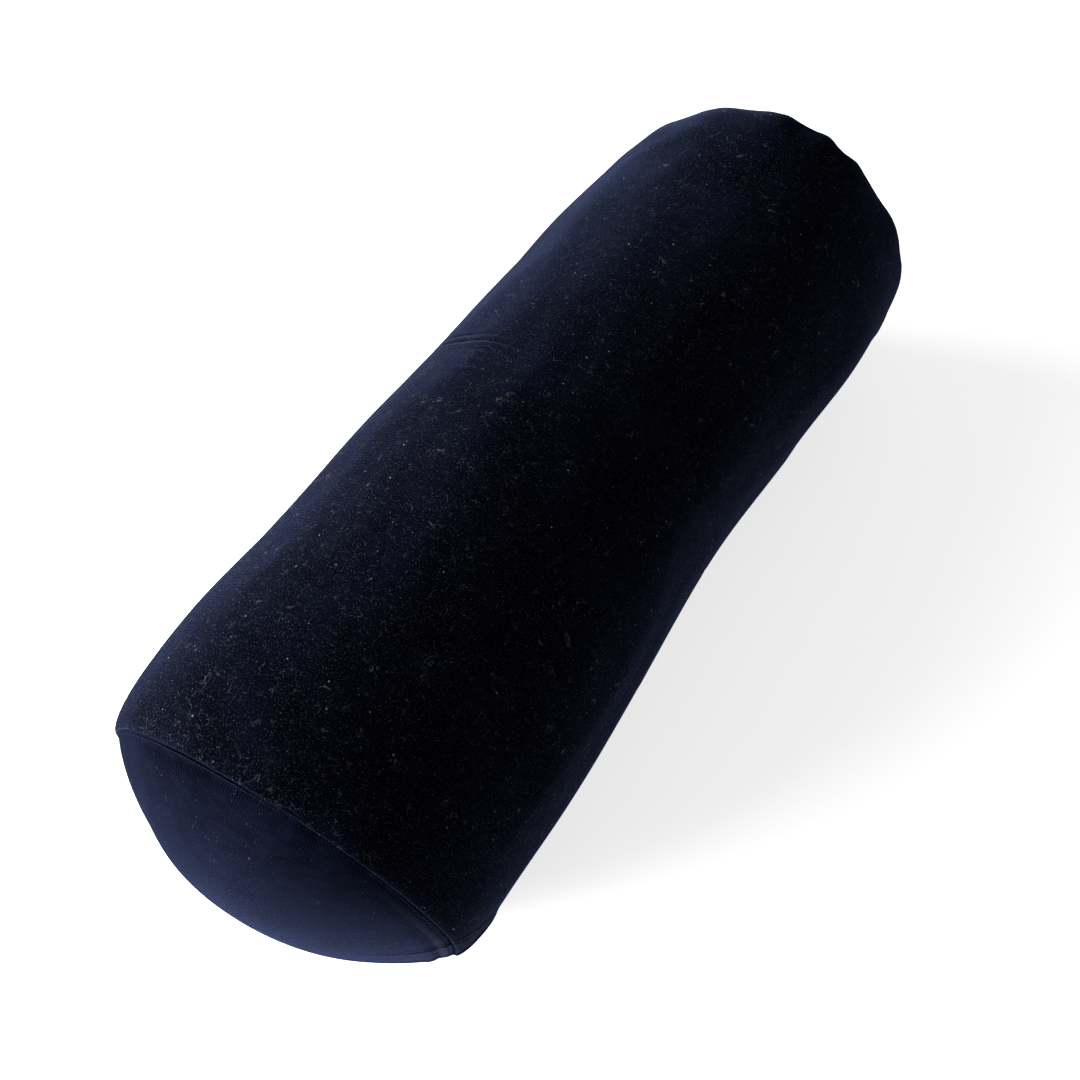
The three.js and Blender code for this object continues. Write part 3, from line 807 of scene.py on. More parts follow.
def end_panel(name, side, node):
    """Builds one end panel as a closed shell."""
    profile, rim = panel_profile(side)
    outline = thick_profile(profile)
    angle = panel_columns(side)
    x_wall = wall_rows[0] if side < 0 else wall_rows[-1]
    spread = velvet_radius(x_wall, angle) / plain_wall(x_wall)
    rows, flat, wear = [], [], []
    for k, (out, radius) in enumerate(outline):
        share = min(radius / outline[:, 1].max(), 1.0)
        away = (share - crease_share(angle)) * RADIUS
        # The painted highlight on the outer side of the long crease, on the near panel only.
        wear.append(bump(away, *PAINTED_HIGHLIGHT_CREASE) * facing(angle, *LONG_CREASE_ZONE) * (side < 0))
        lift = panel_relief(side, np.full_like(angle, share), angle)
        lift = lift * np.clip(1 - (k - DOME_ROWS + 1) / ROLL_FADE, 0, 1)
        follow = 1 + (spread - 1) * share ** 1.5
        edge = share ** 6
        x = side * (HALF_BODY + out + lift * (1 - 0.55 * edge))
        sink = max(rim - radius, 0) * 0.25 if share > 0.9 else 0.0
        sink = 0.25 * MM + (CLOTH if k >= len(profile) else 0) + sink
        rows.append(placed(x, angle, radius * follow + lift * 0.75 * edge, sink))
        turn = np.radians(angle)
        flat.append(np.stack([radius * np.cos(turn), radius * np.sin(turn)], axis=-1))
    panel = grid_mesh(name, np.array(rows), np.array(flat), caps="pole", flip=side > 0,
                      wear=np.array(wear))
    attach(panel, "pillow")
    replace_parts(panel, node)
    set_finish(panel, "cover_velvet")
    return panel


near_panel = end_panel("velvet_near_end", -1, "cover_near_end_panel")
far_panel = end_panel("velvet_far_end", 1, "cover_far_end_panel")

# %% [markdown]
# ## The zip behind the cloth
# The tapes, the nylon coils and the rows of stitching follow the velvet from behind. Each is a
# strip with a plain section that is carried along the zip, and a wave along it makes the coil's
# teeth and the separate stitches, which would be thousands of tiny pieces otherwise.

# %% Strips that follow the zip
STITCH = 2.6 * MM
TEETH_IN = 2.8 * MM


def stands_for(piece, slot_name, *nodes):
    """Says that a piece rides on the pillow, what it is made of and which nodes it replaces."""
    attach(piece, "pillow")
    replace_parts(piece, *nodes)
    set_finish(piece, slot_name)


def zip_strip(name, node, slot_name, side, across, depth, span, pitch=None, dip=0.0):
    """A strip beside the slit, across and depth in mm from the slit's middle and the surface."""
    x = steps_between(((span[0], pitch / 6 if pitch else 2.5 * MM), (span[1], 1)))
    places = np.linspace(across[0], across[1], 5) * MM * side
    angle = ZIP_ANGLE + np.degrees(places / RADIUS)
    wave = 0.5 - 0.5 * np.cos(2 * np.pi * (x - span[0]) / pitch) if pitch else np.ones_like(x)
    rows, flat = [], []
    for along, swell in zip(x, wave):
        middle = (depth[0] + depth[1]) / 2 * MM
        thick = (depth[1] - depth[0]) / 2 * MM * (1 - dip * (1 - swell))
        surface = np.minimum(velvet_radius(along, angle), RADIUS + 0.1 * MM)
        top = placed(along, angle, surface - middle + thick, middle)
        bottom = placed(along, angle, surface - middle - thick, middle)
        rows.append(np.concatenate([top, bottom[::-1]]))
        run = np.concatenate([places, places[::-1]])
        flat.append(np.stack([run, np.full_like(run, along)], axis=-1))
    points, flat = np.array(rows), np.array(flat)
    stands_for(grid_mesh(name, points, flat, caps="ring", flip=side > 0), slot_name, node)


for word, side in (("upper", -1), ("lower", 1)):
    teeth = (zip_near + TEETH_IN, zip_far - TEETH_IN)
    zip_strip(f"tape_{word}", f"zip_tape_{word}", "zip_tape", side, (0.9, 12.9), (1.5, 2.0),
              (zip_near, zip_far))
    zip_strip(f"coil_{word}", f"zip_coil_{word}", "zip_coil", side, (0.9, 3.1), (2.3, 3.9), teeth,
              pitch=1.4 * MM, dip=0.45)
    zip_strip(f"zip_stitches_{word}", f"zip_stitching_{word}", "navy_thread", side, (6.9, 7.5),
              (2.3, 2.6), (zip_near, zip_far), pitch=STITCH, dip=0.8)

# %% [markdown]
# ## Stitched seams
# The rim seams and the closed ends of the long seam are held by thread behind the folded edges.
# A stitch line is a thin cord that swells and thins with each stitch, laid along the seam.

# %% Thread along a line
THREAD_RADIUS = 0.3 * MM


def thread_line(name, node, centres, closed):
    """A navy thread through centres, with its stitches."""
    before = np.roll(centres, 1, axis=0)
    after = np.roll(centres, -1, axis=0)
    if not closed:
        before[0], after[-1] = centres[0], centres[-1]
    along = after - before
    along = along / np.linalg.norm(along, axis=1, keepdims=True)
    hub = np.array([middle_x, AXIS_Y, AXIS_HEIGHT])
    out = centres - hub
    out = out - (out * along).sum(axis=1, keepdims=True) * along
    out = out / np.linalg.norm(out, axis=1, keepdims=True)
    side = np.cross(along, out)
    run = np.concatenate([[0], np.cumsum(np.linalg.norm(np.diff(centres, axis=0), axis=1))])
    thick = THREAD_RADIUS * (0.62 + 0.38 * np.abs(np.sin(np.pi * run / STITCH)))
    turns = np.radians(np.arange(0, 360, 60))
    rings = (centres[:, None] + thick[:, None, None] * (np.cos(turns)[None, :, None] * out[:, None]
             + np.sin(turns)[None, :, None] * side[:, None]))
    flat = np.stack([np.broadcast_to(turns * THREAD_RADIUS, rings.shape[:2]),
                     np.broadcast_to(run[:, None], rings.shape[:2])], axis=-1)
    piece = grid_mesh(name, rings, flat, caps="loop" if closed else "pole", flip=True)
    stands_for(piece, "navy_thread", node)


def rim_thread(name, node, side):
    """The thread behind a rim's folded edges."""
    angle = np.arange(0, 360, 0.5)
    path = rim_path(side)[2]
    out = (path[-2][0] + path[-3][0]) / 2 - 0.5 * MM
    into = (path[-2][1] + path[-3][1]) / 2 - 0.5 * MM
    x_wall = wall_rows[0] if side < 0 else wall_rows[-1]
    radius = velvet_radius(x_wall, angle) - into
    thread_line(name, node, placed(x_wall + side * out, angle, radius, into), True)


def long_thread(name, node, start, end):
    """The thread of a closed end of the long seam, behind the two folded edges."""
    x = steps_between(((start, 0.5 * MM), (end, 1)))
    depth = CLOTH + 0.3 * MM + THREAD_RADIUS
    radius = velvet_radius(x, ZIP_ANGLE) - depth
    thread_line(name, node, placed(x, ZIP_ANGLE, radius, depth), False)


rim_thread("stitches_near_rim", "near_rim_seam_thread", -1)
rim_thread("stitches_far_rim", "far_rim_seam_thread", 1)
long_thread("stitches_long_seam_near", "long_seam_thread_near", -165 * MM, zip_near - 0.5 * MM)
long_thread("stitches_long_seam_far", "long_seam_thread_far", zip_far + 0.5 * MM, 163 * MM)

# %% [markdown]
# ## The liner and its filling
# Inside is a plain cotton bag, sewn shut by hand, and the filling is what gives the pillow its
# shape. They follow the velvet from within at a small distance, so that they never show, whatever
# the cover does at its waist.

# %% Liner tube, liner ends and filling
LINER_DEPTH = 6.2 * MM
LINER_CLOTH = 0.6 * MM
LINER_HALF = 166 * MM
LINER_RIM_DROP = 12 * MM
LINER_SHOULDER = 30 * MM


def liner_radius(x, angle, depth):
    """The liner's radius: the velvet's large forms, drawn in more strongly at its own rims."""
    large = plain_wall(x) + relief(x, angle) - creases(x, angle)
    large = np.minimum(large, RADIUS + 1 * MM) if depth < 7 * MM else large - 0.2 * MM
    reach = np.clip((np.abs(x) - LINER_HALF + LINER_SHOULDER) / LINER_SHOULDER, 0, 1)
    return large - depth - LINER_RIM_DROP * (1 - np.sqrt(1 - reach ** 2))


def soft_shell(name, nodes, slot_name, rows, caps="pole", flip=False):
    """A closed shell from (x, share of the wall's radius, depth) rows."""
    angle = np.arange(0, 360, 3.75)
    points, flat = [], []
    for x, share, depth in rows:
        x_wall = max(-LINER_HALF, min(LINER_HALF, x))
        radius = liner_radius(np.full_like(angle, x_wall), angle, depth) * share
        points.append(placed(x, angle, radius, depth))
        flat.append(np.stack([np.radians(angle) * RADIUS * share, np.full_like(angle, x)], axis=-1))
    piece = grid_mesh(name, np.array(points), np.array(flat), caps=caps, flip=flip)
    stands_for(piece, slot_name, *nodes)


def along_body(depth):
    """Rows of a liner wall at a depth."""
    return [(x, 1.0, depth) for x in np.linspace(-LINER_HALF, LINER_HALF, 60)]


def liner_dome(side, bulge, depth):
    """Rows of a liner's end from its rim to its middle."""
    shares = np.cos(np.linspace(0.02, math.pi / 2 - 0.02, 14))
    return [(side * (LINER_HALF + bulge * math.sqrt(1 - s * s)), s, depth) for s in shares]


deep = LINER_DEPTH + LINER_CLOTH
tube_rows = along_body(LINER_DEPTH) + along_body(deep)[::-1]
soft_shell("liner_body", ["liner_tube"], "liner_cotton", tube_rows, caps="loop")
for word, side, bulge in (("near", -1, 30 * MM), ("far", 1, 32 * MM)):
    inner = [(x - side * LINER_CLOTH, s, d) for x, s, d in liner_dome(side, bulge, deep)]
    outer = [(x, s, d) for x, s, d in liner_dome(side, bulge, LINER_DEPTH + 0.1 * MM)]
    rows = outer[::-1] + inner
    soft_shell(f"liner_{word}_panel", [f"liner_{word}_end"], "liner_cotton", rows, flip=side > 0)
filling_depth = deep + 1.5 * MM
filling_rows = (liner_dome(-1, 27 * MM, filling_depth)[::-1] + along_body(filling_depth)[1:-1]
                + liner_dome(1, 29 * MM, filling_depth))
soft_shell("fibre_stuffing", ["fibre_filling"], "filling_fibre", filling_rows)

# %% [markdown]
# ## Finishes
# Velvet is a knit with a short upright pile. Seen straight on, light sinks between the fibres and
# it looks almost black; seen along the surface, the tips catch the light. The shader's sheen does
# this, over a very dark navy. The ribs of the knit, the nap that lies this way and that, and the
# lint that any dark velvet collects are node groups, because more than one finish uses them.

# %% Node helpers
def new_group(name, inputs, outputs):
    """A shader node group with named sockets. Inputs are (name, kind, default)."""
    group = bpy.data.node_groups.new(name, "ShaderNodeTree")
    for label, kind, default in inputs:
        socket = group.interface.new_socket(label, in_out="INPUT", socket_type=kind)
        if default is not None:
            socket.default_value = default
    for label, kind in outputs:
        group.interface.new_socket(label, in_out="OUTPUT", socket_type=kind)
    return group, group.nodes.new("NodeGroupInput"), group.nodes.new("NodeGroupOutput")


def place(tree, value, socket):
    """Sets or links a socket."""
    if isinstance(value, bpy.types.NodeSocket):
        tree.links.new(value, socket)
    elif value is not None:
        socket.default_value = value


def sums(tree, operation, a, b=None, c=None, clamp=False):
    """A math node's result."""
    node = tree.nodes.new("ShaderNodeMath")
    node.operation = operation
    node.use_clamp = clamp
    for value, socket in zip((a, b, c), node.inputs):
        place(tree, value, socket)
    return node.outputs[0]


def vectors(tree, operation, a, b=None):
    """A vector math node."""
    node = tree.nodes.new("ShaderNodeVectorMath")
    node.operation = operation
    place(tree, a, node.inputs[0])
    place(tree, b, node.inputs[1])
    return node


def noise(tree, vector, scale, detail=2.0, roughness=0.5, distortion=0.0):
    """A noise texture's value."""
    node = tree.nodes.new("ShaderNodeTexNoise")
    place(tree, vector, node.inputs["Vector"])
    place(tree, scale, node.inputs["Scale"])
    place(tree, detail, node.inputs["Detail"])
    place(tree, roughness, node.inputs["Roughness"])
    place(tree, distortion, node.inputs["Distortion"])
    return node.outputs["Fac"]


def ramp(tree, value, low, high, start=0.0, end=1.0):
    """A smooth step of a value from low to high, put out from start to end."""
    node = tree.nodes.new("ShaderNodeMapRange")
    node.interpolation_type = "SMOOTHSTEP"
    for label, number in (("From Min", low), ("From Max", high), ("To Min", start), ("To Max", end)):
        place(tree, number, node.inputs[label])
    place(tree, value, node.inputs["Value"])
    return node.outputs["Result"]


def blend_colour(tree, share, a, b):
    """A colour between a and b."""
    node = tree.nodes.new("ShaderNodeMix")
    node.data_type = "RGBA"
    place(tree, share, node.inputs["Factor"])
    place(tree, a, node.inputs["A"])
    place(tree, b, node.inputs["B"])
    return node.outputs["Result"]


print("node helpers ready")

# %% [markdown]
# The ribs of the knit run one way across the cloth, about three quarters of a millimetre apart.
# Each is a round little bank broken up into stitches, so a sine wave across the ribs is crossed by
# a weaker one along them, and noise makes both of them wander.

# %% Knit ribs
def rib_waves(group, vector, pitch, angle, wander):
    """Ribs inside a group: their height with the stitches, and the ribs alone."""
    turn = group.nodes.new("ShaderNodeVectorRotate")
    turn.rotation_type = "Z_AXIS"
    place(group, vector, turn.inputs["Vector"])
    place(group, angle, turn.inputs["Angle"])
    parts = group.nodes.new("ShaderNodeSeparateXYZ")
    place(group, turn.outputs["Vector"], parts.inputs["Vector"])
    drift = sums(group, "MULTIPLY", noise(group, vector, 120.0, 3.0), wander)
    across = sums(group, "DIVIDE", parts.outputs["X"], pitch)
    across = sums(group, "ADD", across, sums(group, "MULTIPLY", drift, 4.0))
    rib = sums(group, "SINE", sums(group, "MULTIPLY", across, 2 * math.pi))
    along = sums(group, "DIVIDE", parts.outputs["Y"], pitch)
    along = sums(group, "ADD", along, sums(group, "MULTIPLY", drift, 7.0))
    stitch = sums(group, "SINE", sums(group, "MULTIPLY", along, 2 * math.pi * 0.8))
    rib = sums(group, "MULTIPLY_ADD", rib, 0.5, 0.5)
    return sums(group, "MULTIPLY_ADD", stitch, 0.12, rib), rib


def make_knit_ribs():
    """Ribs and stitches of a knit."""
    group, start, end = new_group("knit ribs", [
        ("Vector", "NodeSocketVector", None), ("Pitch", "NodeSocketFloat", 0.00075),
        ("Angle", "NodeSocketFloat", 0.0), ("Wander", "NodeSocketFloat", 0.35),
    ], [("Height", "NodeSocketFloat"), ("Rib", "NodeSocketFloat")])
    inputs = (start.outputs[label] for label in ("Vector", "Pitch", "Angle", "Wander"))
    height, rib = rib_waves(group, *inputs)
    place(group, height, end.inputs["Height"])
    place(group, rib, end.inputs["Rib"])
    return group


knit_ribs = make_knit_ribs()
print("group", knit_ribs.name)

# %% [markdown]
# Nap is how the pile lies. Hands brush it in patches a few centimetres wide, with streaks along
# the ribs, and each patch is a little lighter or darker. The pile itself is a very fine grain.

# %% Nap and pile
def make_nap():
    """Patches of brushed pile, and the grain of the pile."""
    group, start, end = new_group("nap and pile", [
        ("Vector", "NodeSocketVector", None), ("Patch", "NodeSocketFloat", 0.03),
        ("Grain", "NodeSocketFloat", 0.0004),
    ], [("Nap", "NodeSocketFloat"), ("Pile", "NodeSocketFloat")])
    vector = start.outputs["Vector"]
    wide = noise(group, vector, sums(group, "DIVIDE", 1.0, start.outputs["Patch"]), 3.0, 0.6, 0.6)
    streak = vectors(group, "MULTIPLY", vector, (1.0, 3.5, 1.0)).outputs["Vector"]
    streaks = noise(group, streak, sums(group, "DIVIDE", 3.2, start.outputs["Patch"]), 4.0, 0.6)
    nap = sums(group, "ADD", sums(group, "MULTIPLY", wide, 0.62), sums(group, "MULTIPLY", streaks, 0.38))
    grain = sums(group, "DIVIDE", 1.0, start.outputs["Grain"])
    pile = noise(group, vector, grain, 3.0, 0.7)
    place(group, ramp(group, nap, 0.34, 0.66), end.inputs["Nap"])
    place(group, pile, end.inputs["Pile"])
    return group


nap_and_pile = make_nap()
print("group", nap_and_pile.name)

# %% [markdown]
# Lint comes as tiny specks and as short curled fibres. Specks are scattered by cells: each cell has
# a point of its own, with a small disc at it if the cell's number says so. A fibre is where a soft
# noise passes through its middle value, which is a thin wandering line, and a second noise lets
# only short lengths of that line through.

# %% Lint
def make_lint():
    """Specks and curled fibres of lint."""
    group, start, end = new_group("lint", [
        ("Vector", "NodeSocketVector", None), ("Cell", "NodeSocketFloat", 0.003),
        ("Share", "NodeSocketFloat", 0.4), ("Speck", "NodeSocketFloat", 0.0002),
        ("Curl", "NodeSocketFloat", 0.003), ("Fibre", "NodeSocketFloat", 0.02),
    ], [("Specks", "NodeSocketFloat"), ("Fibres", "NodeSocketFloat")])
    vector, cell, share = (start.outputs[label] for label in ("Vector", "Cell", "Share"))
    cells = group.nodes.new("ShaderNodeTexVoronoi")
    cells.voronoi_dimensions = "2D"
    place(group, vector, cells.inputs["Vector"])
    place(group, sums(group, "DIVIDE", 1.0, cell), cells.inputs["Scale"])
    chance = group.nodes.new("ShaderNodeSeparateColor")
    place(group, cells.outputs["Color"], chance.inputs["Color"])
    distance = sums(group, "MULTIPLY", cells.outputs["Distance"], cell)
    present = sums(group, "LESS_THAN", chance.outputs["Red"], share)
    size = sums(group, "POWER", chance.outputs["Green"], 3.0)
    size = sums(group, "MULTIPLY", start.outputs["Speck"], sums(group, "MULTIPLY_ADD", size, 1.6, 0.4))
    speck = ramp(group, sums(group, "DIVIDE", distance, size), 1.3, 0.7)
    strength = sums(group, "MULTIPLY_ADD", chance.outputs["Blue"], 0.8, 0.2)
    speck = sums(group, "MULTIPLY", sums(group, "MULTIPLY", speck, present), strength)
    scale = sums(group, "DIVIDE", 1.0, start.outputs["Curl"])
    line = sums(group, "SUBTRACT", noise(group, vector, scale, 1.0, 0.5, 0.8), 0.5)
    line = sums(group, "DIVIDE", sums(group, "ABSOLUTE", line), start.outputs["Fibre"])
    line = ramp(group, line, 1.2, 0.5)
    moved = vectors(group, "ADD", vector, (3.1, 1.7, 0.0)).outputs["Vector"]
    length = noise(group, moved, sums(group, "MULTIPLY", scale, 0.8), 1.0)
    limit = sums(group, "MULTIPLY_ADD", share, -0.22, 0.72)
    length = sums(group, "MULTIPLY", sums(group, "SUBTRACT", length, limit), 14.0, clamp=True)
    place(group, speck, end.inputs["Specks"])
    place(group, sums(group, "MULTIPLY", line, length), end.inputs["Fibres"])
    return group


lint = make_lint()
print("group", lint.name)

# %% [markdown]
# A fine pale speckle, finer than lint, lies between the fibres. Where a fold stands up, its crest
# is painted paler: a painted highlight where it catches the light. The mesh carries how far each
# point is such a crest, and the grain of the pile breaks the painted line up.

# %% Fine speckle and painted highlight
def make_speckle_and_highlight():
    """A fine pale speckle, and a painted highlight on the crests of folds."""
    group, start, end = new_group("dust and rubbing", [
        ("Vector", "NodeSocketVector", None), ("Share", "NodeSocketFloat", 0.2),
        ("Crest", "NodeSocketFloat", 0.0), ("Pile", "NodeSocketFloat", 0.5),
    ], [("Dust", "NodeSocketFloat"), ("Rubbed", "NodeSocketFloat")])
    speckle = ramp(group, noise(group, start.outputs["Vector"], 1500.0, 2.0, 0.6), 0.55, 0.72)
    place(group, sums(group, "MULTIPLY", speckle, start.outputs["Share"]), end.inputs["Dust"])
    # Painted highlight on the crests of folds, broken up by the pile's grain.
    broken = ramp(group, start.outputs["Pile"], 0.3, 0.7, 0.2, 1.0)
    painted_highlight = sums(group, "MULTIPLY", start.outputs["Crest"], broken)
    place(group, sums(group, "MULTIPLY", painted_highlight, 0.7), end.inputs["Rubbed"])
    return group


speckle_and_highlight = make_speckle_and_highlight()
print("group", speckle_and_highlight.name)

# %% [markdown]
# ## Velvet
# The navy is so dark that nearly all its colour comes from the sheen. Lint lies on top of it, and
# shows most where the velvet is blackest, and the crests of folds are painted a little paler as a
# painted highlight. The end panels are the same cloth with its ribs turned and less lint, because
# they were brushed by the hand that sewed them. Their lighter navy is painted light: it stands for
# the light that the panels catch from the window.

# %% Material helpers
def start_material(name):
    """A material with its principled shader and the cloth coordinates."""
    material = bpy.data.materials.new(name)
    material.use_nodes = True
    tree = material.node_tree
    shader = tree.nodes["Principled BSDF"]
    flat = tree.nodes.new("ShaderNodeUVMap")
    flat.uv_map = CLOTH_MAP
    return material, tree, shader, flat.outputs["UV"]


def use_group(tree, group, vector, **values):
    """Puts a node group into a material with its own values."""
    node = tree.nodes.new("ShaderNodeGroup")
    node.node_tree = group
    place(tree, vector, node.inputs["Vector"])
    for label, value in values.items():
        place(tree, value, node.inputs[label])
    return node.outputs


def bumped(tree, height, distance, strength=1.0, under=None):
    """A bump node's normal."""
    node = tree.nodes.new("ShaderNodeBump")
    node.inputs["Strength"].default_value = strength
    node.inputs["Distance"].default_value = distance
    place(tree, height, node.inputs["Height"])
    if under is not None:
        place(tree, under, node.inputs["Normal"])
    return node.outputs["Normal"]


print("material helpers ready")

# %% The velvet finish
# Colour of a fine pale speckle spread by noise.
PALE_SPECKLE = (0.045, 0.046, 0.055, 1)
LINT_FIBRE = (0.075, 0.078, 0.09, 1)
LINT_SPECK = (0.25, 0.25, 0.28, 1)
# Colour of the painted highlight on the crests of folds.
PAINTED_HIGHLIGHT_GREY = (0.07, 0.072, 0.085, 1)
VELVET_SHEEN = (0.058, 0.074, 0.155, 1)


def velvet(name, rib_angle, rib_strength, lint_share, deep, lifted):
    """Navy stretch velvet: tones, then pale speckle, lint and a painted highlight on fold crests, then
    sheen and relief.
    """
    material, tree, shader, flat = start_material(name)
    ribs = use_group(tree, knit_ribs, flat, Pitch=0.00078, Angle=rib_angle, Wander=0.1)
    nap = use_group(tree, nap_and_pile, flat, Patch=0.034, Grain=0.00045)
    tone = sums(tree, "MULTIPLY_ADD", nap["Pile"], 0.5, sums(tree, "MULTIPLY", nap["Nap"], 0.6))
    tone = sums(tree, "MULTIPLY_ADD", ribs["Rib"], 0.22, sums(tree, "ADD", tone, -0.2), clamp=True)
    colour = blend_colour(tree, tone, deep, lifted)
    # The mesh's attribute of painted highlight on the crests of folds.
    crest = tree.nodes.new("ShaderNodeAttribute")
    crest.attribute_name = PAINTED_HIGHLIGHT_LAYER
    marks = use_group(tree, speckle_and_highlight, flat, Share=lint_share * 0.5, Crest=crest.outputs["Fac"],
                      Pile=nap["Pile"])
    # A fine pale speckle over the tones.
    colour = blend_colour(tree, marks["Dust"], colour, PALE_SPECKLE)
    small = use_group(tree, lint, flat, Cell=0.0015, Share=lint_share, Speck=0.00009, Curl=0.0023,
                      Fibre=0.018)
    away = vectors(tree, "ADD", flat, (0.37, 0.21, 0.0)).outputs["Vector"]
    large = use_group(tree, lint, away, Cell=0.0075, Share=lint_share * 0.8, Speck=0.00017,
                      Curl=0.0058, Fibre=0.009)
    faint = sums(tree, "MAXIMUM", sums(tree, "MULTIPLY", small["Fibres"], 0.5), large["Fibres"])
    colour = blend_colour(tree, sums(tree, "MULTIPLY", faint, 0.42), colour, LINT_FIBRE)
    dots = sums(tree, "MAXIMUM", sums(tree, "MULTIPLY", small["Specks"], 0.45), large["Specks"])
    colour = blend_colour(tree, sums(tree, "MULTIPLY", dots, 0.7), colour, LINT_SPECK)
    # Painted highlight: the crests of folds turn paler.
    colour = blend_colour(tree, marks["Rubbed"], colour, PAINTED_HIGHLIGHT_GREY)
    place(tree, colour, shader.inputs["Base Color"])
    place(tree, ramp(tree, nap["Nap"], 0.0, 1.0, 0.85, 0.97), shader.inputs["Roughness"])
    shader.inputs["Specular IOR Level"].default_value = 0.0
    shader.inputs["Sheen Weight"].default_value = 0.9
    shader.inputs["Sheen Roughness"].default_value = 0.33
    shader.inputs["Sheen Tint"].default_value = VELVET_SHEEN
    ribbed = bumped(tree, ribs["Height"], 0.00012, rib_strength)
    place(tree, bumped(tree, nap["Pile"], 0.00016, 0.9, ribbed), shader.inputs["Normal"])
    return material


DEEP_NAVY = (0.0003, 0.0003, 0.0006, 1)
LIFTED_NAVY = (0.0023, 0.0031, 0.0078, 1)
# Painted light: the panels' navy is lighter than the body's, for the light that they catch from the
# window.
PAINTED_LIT_PANEL_NAVY = (0.0034, 0.0048, 0.0125, 1)
body_velvet = velvet("body velvet", math.radians(86), 0.4, 0.75, DEEP_NAVY, LIFTED_NAVY)
panel_velvet = velvet("panel velvet", math.radians(35), 0.5, 0.14, DEEP_NAVY, PAINTED_LIT_PANEL_NAVY)
print("velvets", body_velvet.name, panel_velvet.name)

# %% [markdown]
# ## Thread, tape, nylon, metal, cotton and fibre
# The hidden pieces have quieter finishes of their own: twisted thread, a woven tape, smooth nylon,
# enamelled metal with worn edges, a plain cotton weave, and loose white fibre. A weave could be a
# pattern of little squares, but two crossed sets of the same ribs, with the higher one on top, give
# the over and under of real threads.

# %% Woven cloth, thread and tape
WEAVE_WANDER = 0.1


def make_weave():
    """A plain weave: two crossed sets of ribs, the higher one on top."""
    group, start, end = new_group("plain weave", [
        ("Vector", "NodeSocketVector", None), ("Pitch", "NodeSocketFloat", 0.0005),
    ], [("Height", "NodeSocketFloat")])
    warp, weft = (rib_waves(group, start.outputs["Vector"], start.outputs["Pitch"], angle,
                            WEAVE_WANDER)[0] for angle in (0.0, math.pi / 2))
    place(group, sums(group, "MAXIMUM", warp, weft), end.inputs["Height"])
    return group


plain_weave = make_weave()
print("group", plain_weave.name)


def woven(name, dark, light, pitch, rough, sheen, tint, depth=0.00005):
    """A plain cloth, thread or tape: a weave over a soft variation."""
    material, tree, shader, flat = start_material(name)
    weave = use_group(tree, plain_weave, flat, Pitch=pitch)["Height"]
    nap = use_group(tree, nap_and_pile, flat, Patch=0.02, Grain=pitch * 0.5)
    tone = sums(tree, "MULTIPLY_ADD", nap["Nap"], 0.4, sums(tree, "MULTIPLY", weave, 0.5), clamp=True)
    place(tree, blend_colour(tree, tone, dark, light), shader.inputs["Base Color"])
    place(tree, ramp(tree, nap["Pile"], 0.3, 0.7, rough - 0.08, rough + 0.05), shader.inputs["Roughness"])
    shader.inputs["Sheen Weight"].default_value = sheen
    shader.inputs["Sheen Roughness"].default_value = 0.5
    shader.inputs["Sheen Tint"].default_value = tint
    shader.inputs["Specular IOR Level"].default_value = 0.25
    place(tree, bumped(tree, weave, depth, 0.8), shader.inputs["Normal"])
    return material

# %% Nylon and enamelled metal
BARE_METAL = (0.09, 0.09, 0.1, 1)


def make_gloss_wear():
    """Fine scratches along a part, and wear on its edges."""
    group, start, end = new_group("gloss wear", [
        ("Vector", "NodeSocketVector", None), ("Edge", "NodeSocketFloat", 0.5),
        ("Grain", "NodeSocketFloat", 0.5),
    ], [("Scratch", "NodeSocketFloat"), ("Worn", "NodeSocketFloat")])
    long = vectors(group, "MULTIPLY", start.outputs["Vector"], (1.0, 9.0, 9.0)).outputs["Vector"]
    scratch = ramp(group, noise(group, long, 900.0, 4.0, 0.7), 0.58, 0.72)
    worn = sums(group, "MULTIPLY", ramp(group, start.outputs["Edge"], 0.52, 0.6),
                start.outputs["Grain"])
    place(group, scratch, end.inputs["Scratch"])
    place(group, worn, end.inputs["Worn"])
    return group


gloss_wear = make_gloss_wear()
print("group", gloss_wear.name)


def smooth(name, dark, light, rough, metal, coat):
    """Nylon or enamelled metal: a fine variation, small scratches and a thin gloss."""
    material, tree, shader, _ = start_material(name)
    where = tree.nodes.new("ShaderNodeTexCoord").outputs["Object"]
    nap = use_group(tree, nap_and_pile, where, Patch=0.004, Grain=0.0003)
    edge = tree.nodes.new("ShaderNodeNewGeometry").outputs["Pointiness"]
    marks = use_group(tree, gloss_wear, where, Edge=edge, Grain=nap["Pile"])
    scratch, worn = marks["Scratch"], marks["Worn"]
    colour = blend_colour(tree, nap["Nap"], dark, light)
    colour = blend_colour(tree, sums(tree, "MULTIPLY", worn, 0.15), colour, BARE_METAL)
    place(tree, colour, shader.inputs["Base Color"])
    place(tree, sums(tree, "MULTIPLY_ADD", scratch, 0.22, rough), shader.inputs["Roughness"])
    place(tree, sums(tree, "MULTIPLY_ADD", worn, 0.1, metal, clamp=True), shader.inputs["Metallic"])
    shader.inputs["Specular IOR Level"].default_value = 0.2
    shader.inputs["Coat Weight"].default_value = coat
    shader.inputs["Coat Roughness"].default_value = 0.2
    place(tree, bumped(tree, sums(tree, "ADD", scratch, nap["Pile"]), 0.00002, 0.5),
          shader.inputs["Normal"])
    return material

# %% Loose fibre, and every finish by its slot
def loose_fibre(name):
    """White polyester fibre: tangled streaks."""
    material, tree, shader, flat = start_material(name)
    tangle = noise(tree, vectors(tree, "MULTIPLY", flat, (1.0, 4.0, 1.0)).outputs["Vector"],
                   600.0, 6.0, 0.7, 2.5)
    place(tree, blend_colour(tree, ramp(tree, tangle, 0.35, 0.65), (0.7, 0.7, 0.68, 1),
                             (0.92, 0.92, 0.9, 1)), shader.inputs["Base Color"])
    place(tree, ramp(tree, tangle, 0.3, 0.7, 0.8, 1.0), shader.inputs["Roughness"])
    place(tree, bumped(tree, tangle, 0.0008), shader.inputs["Normal"])
    return material


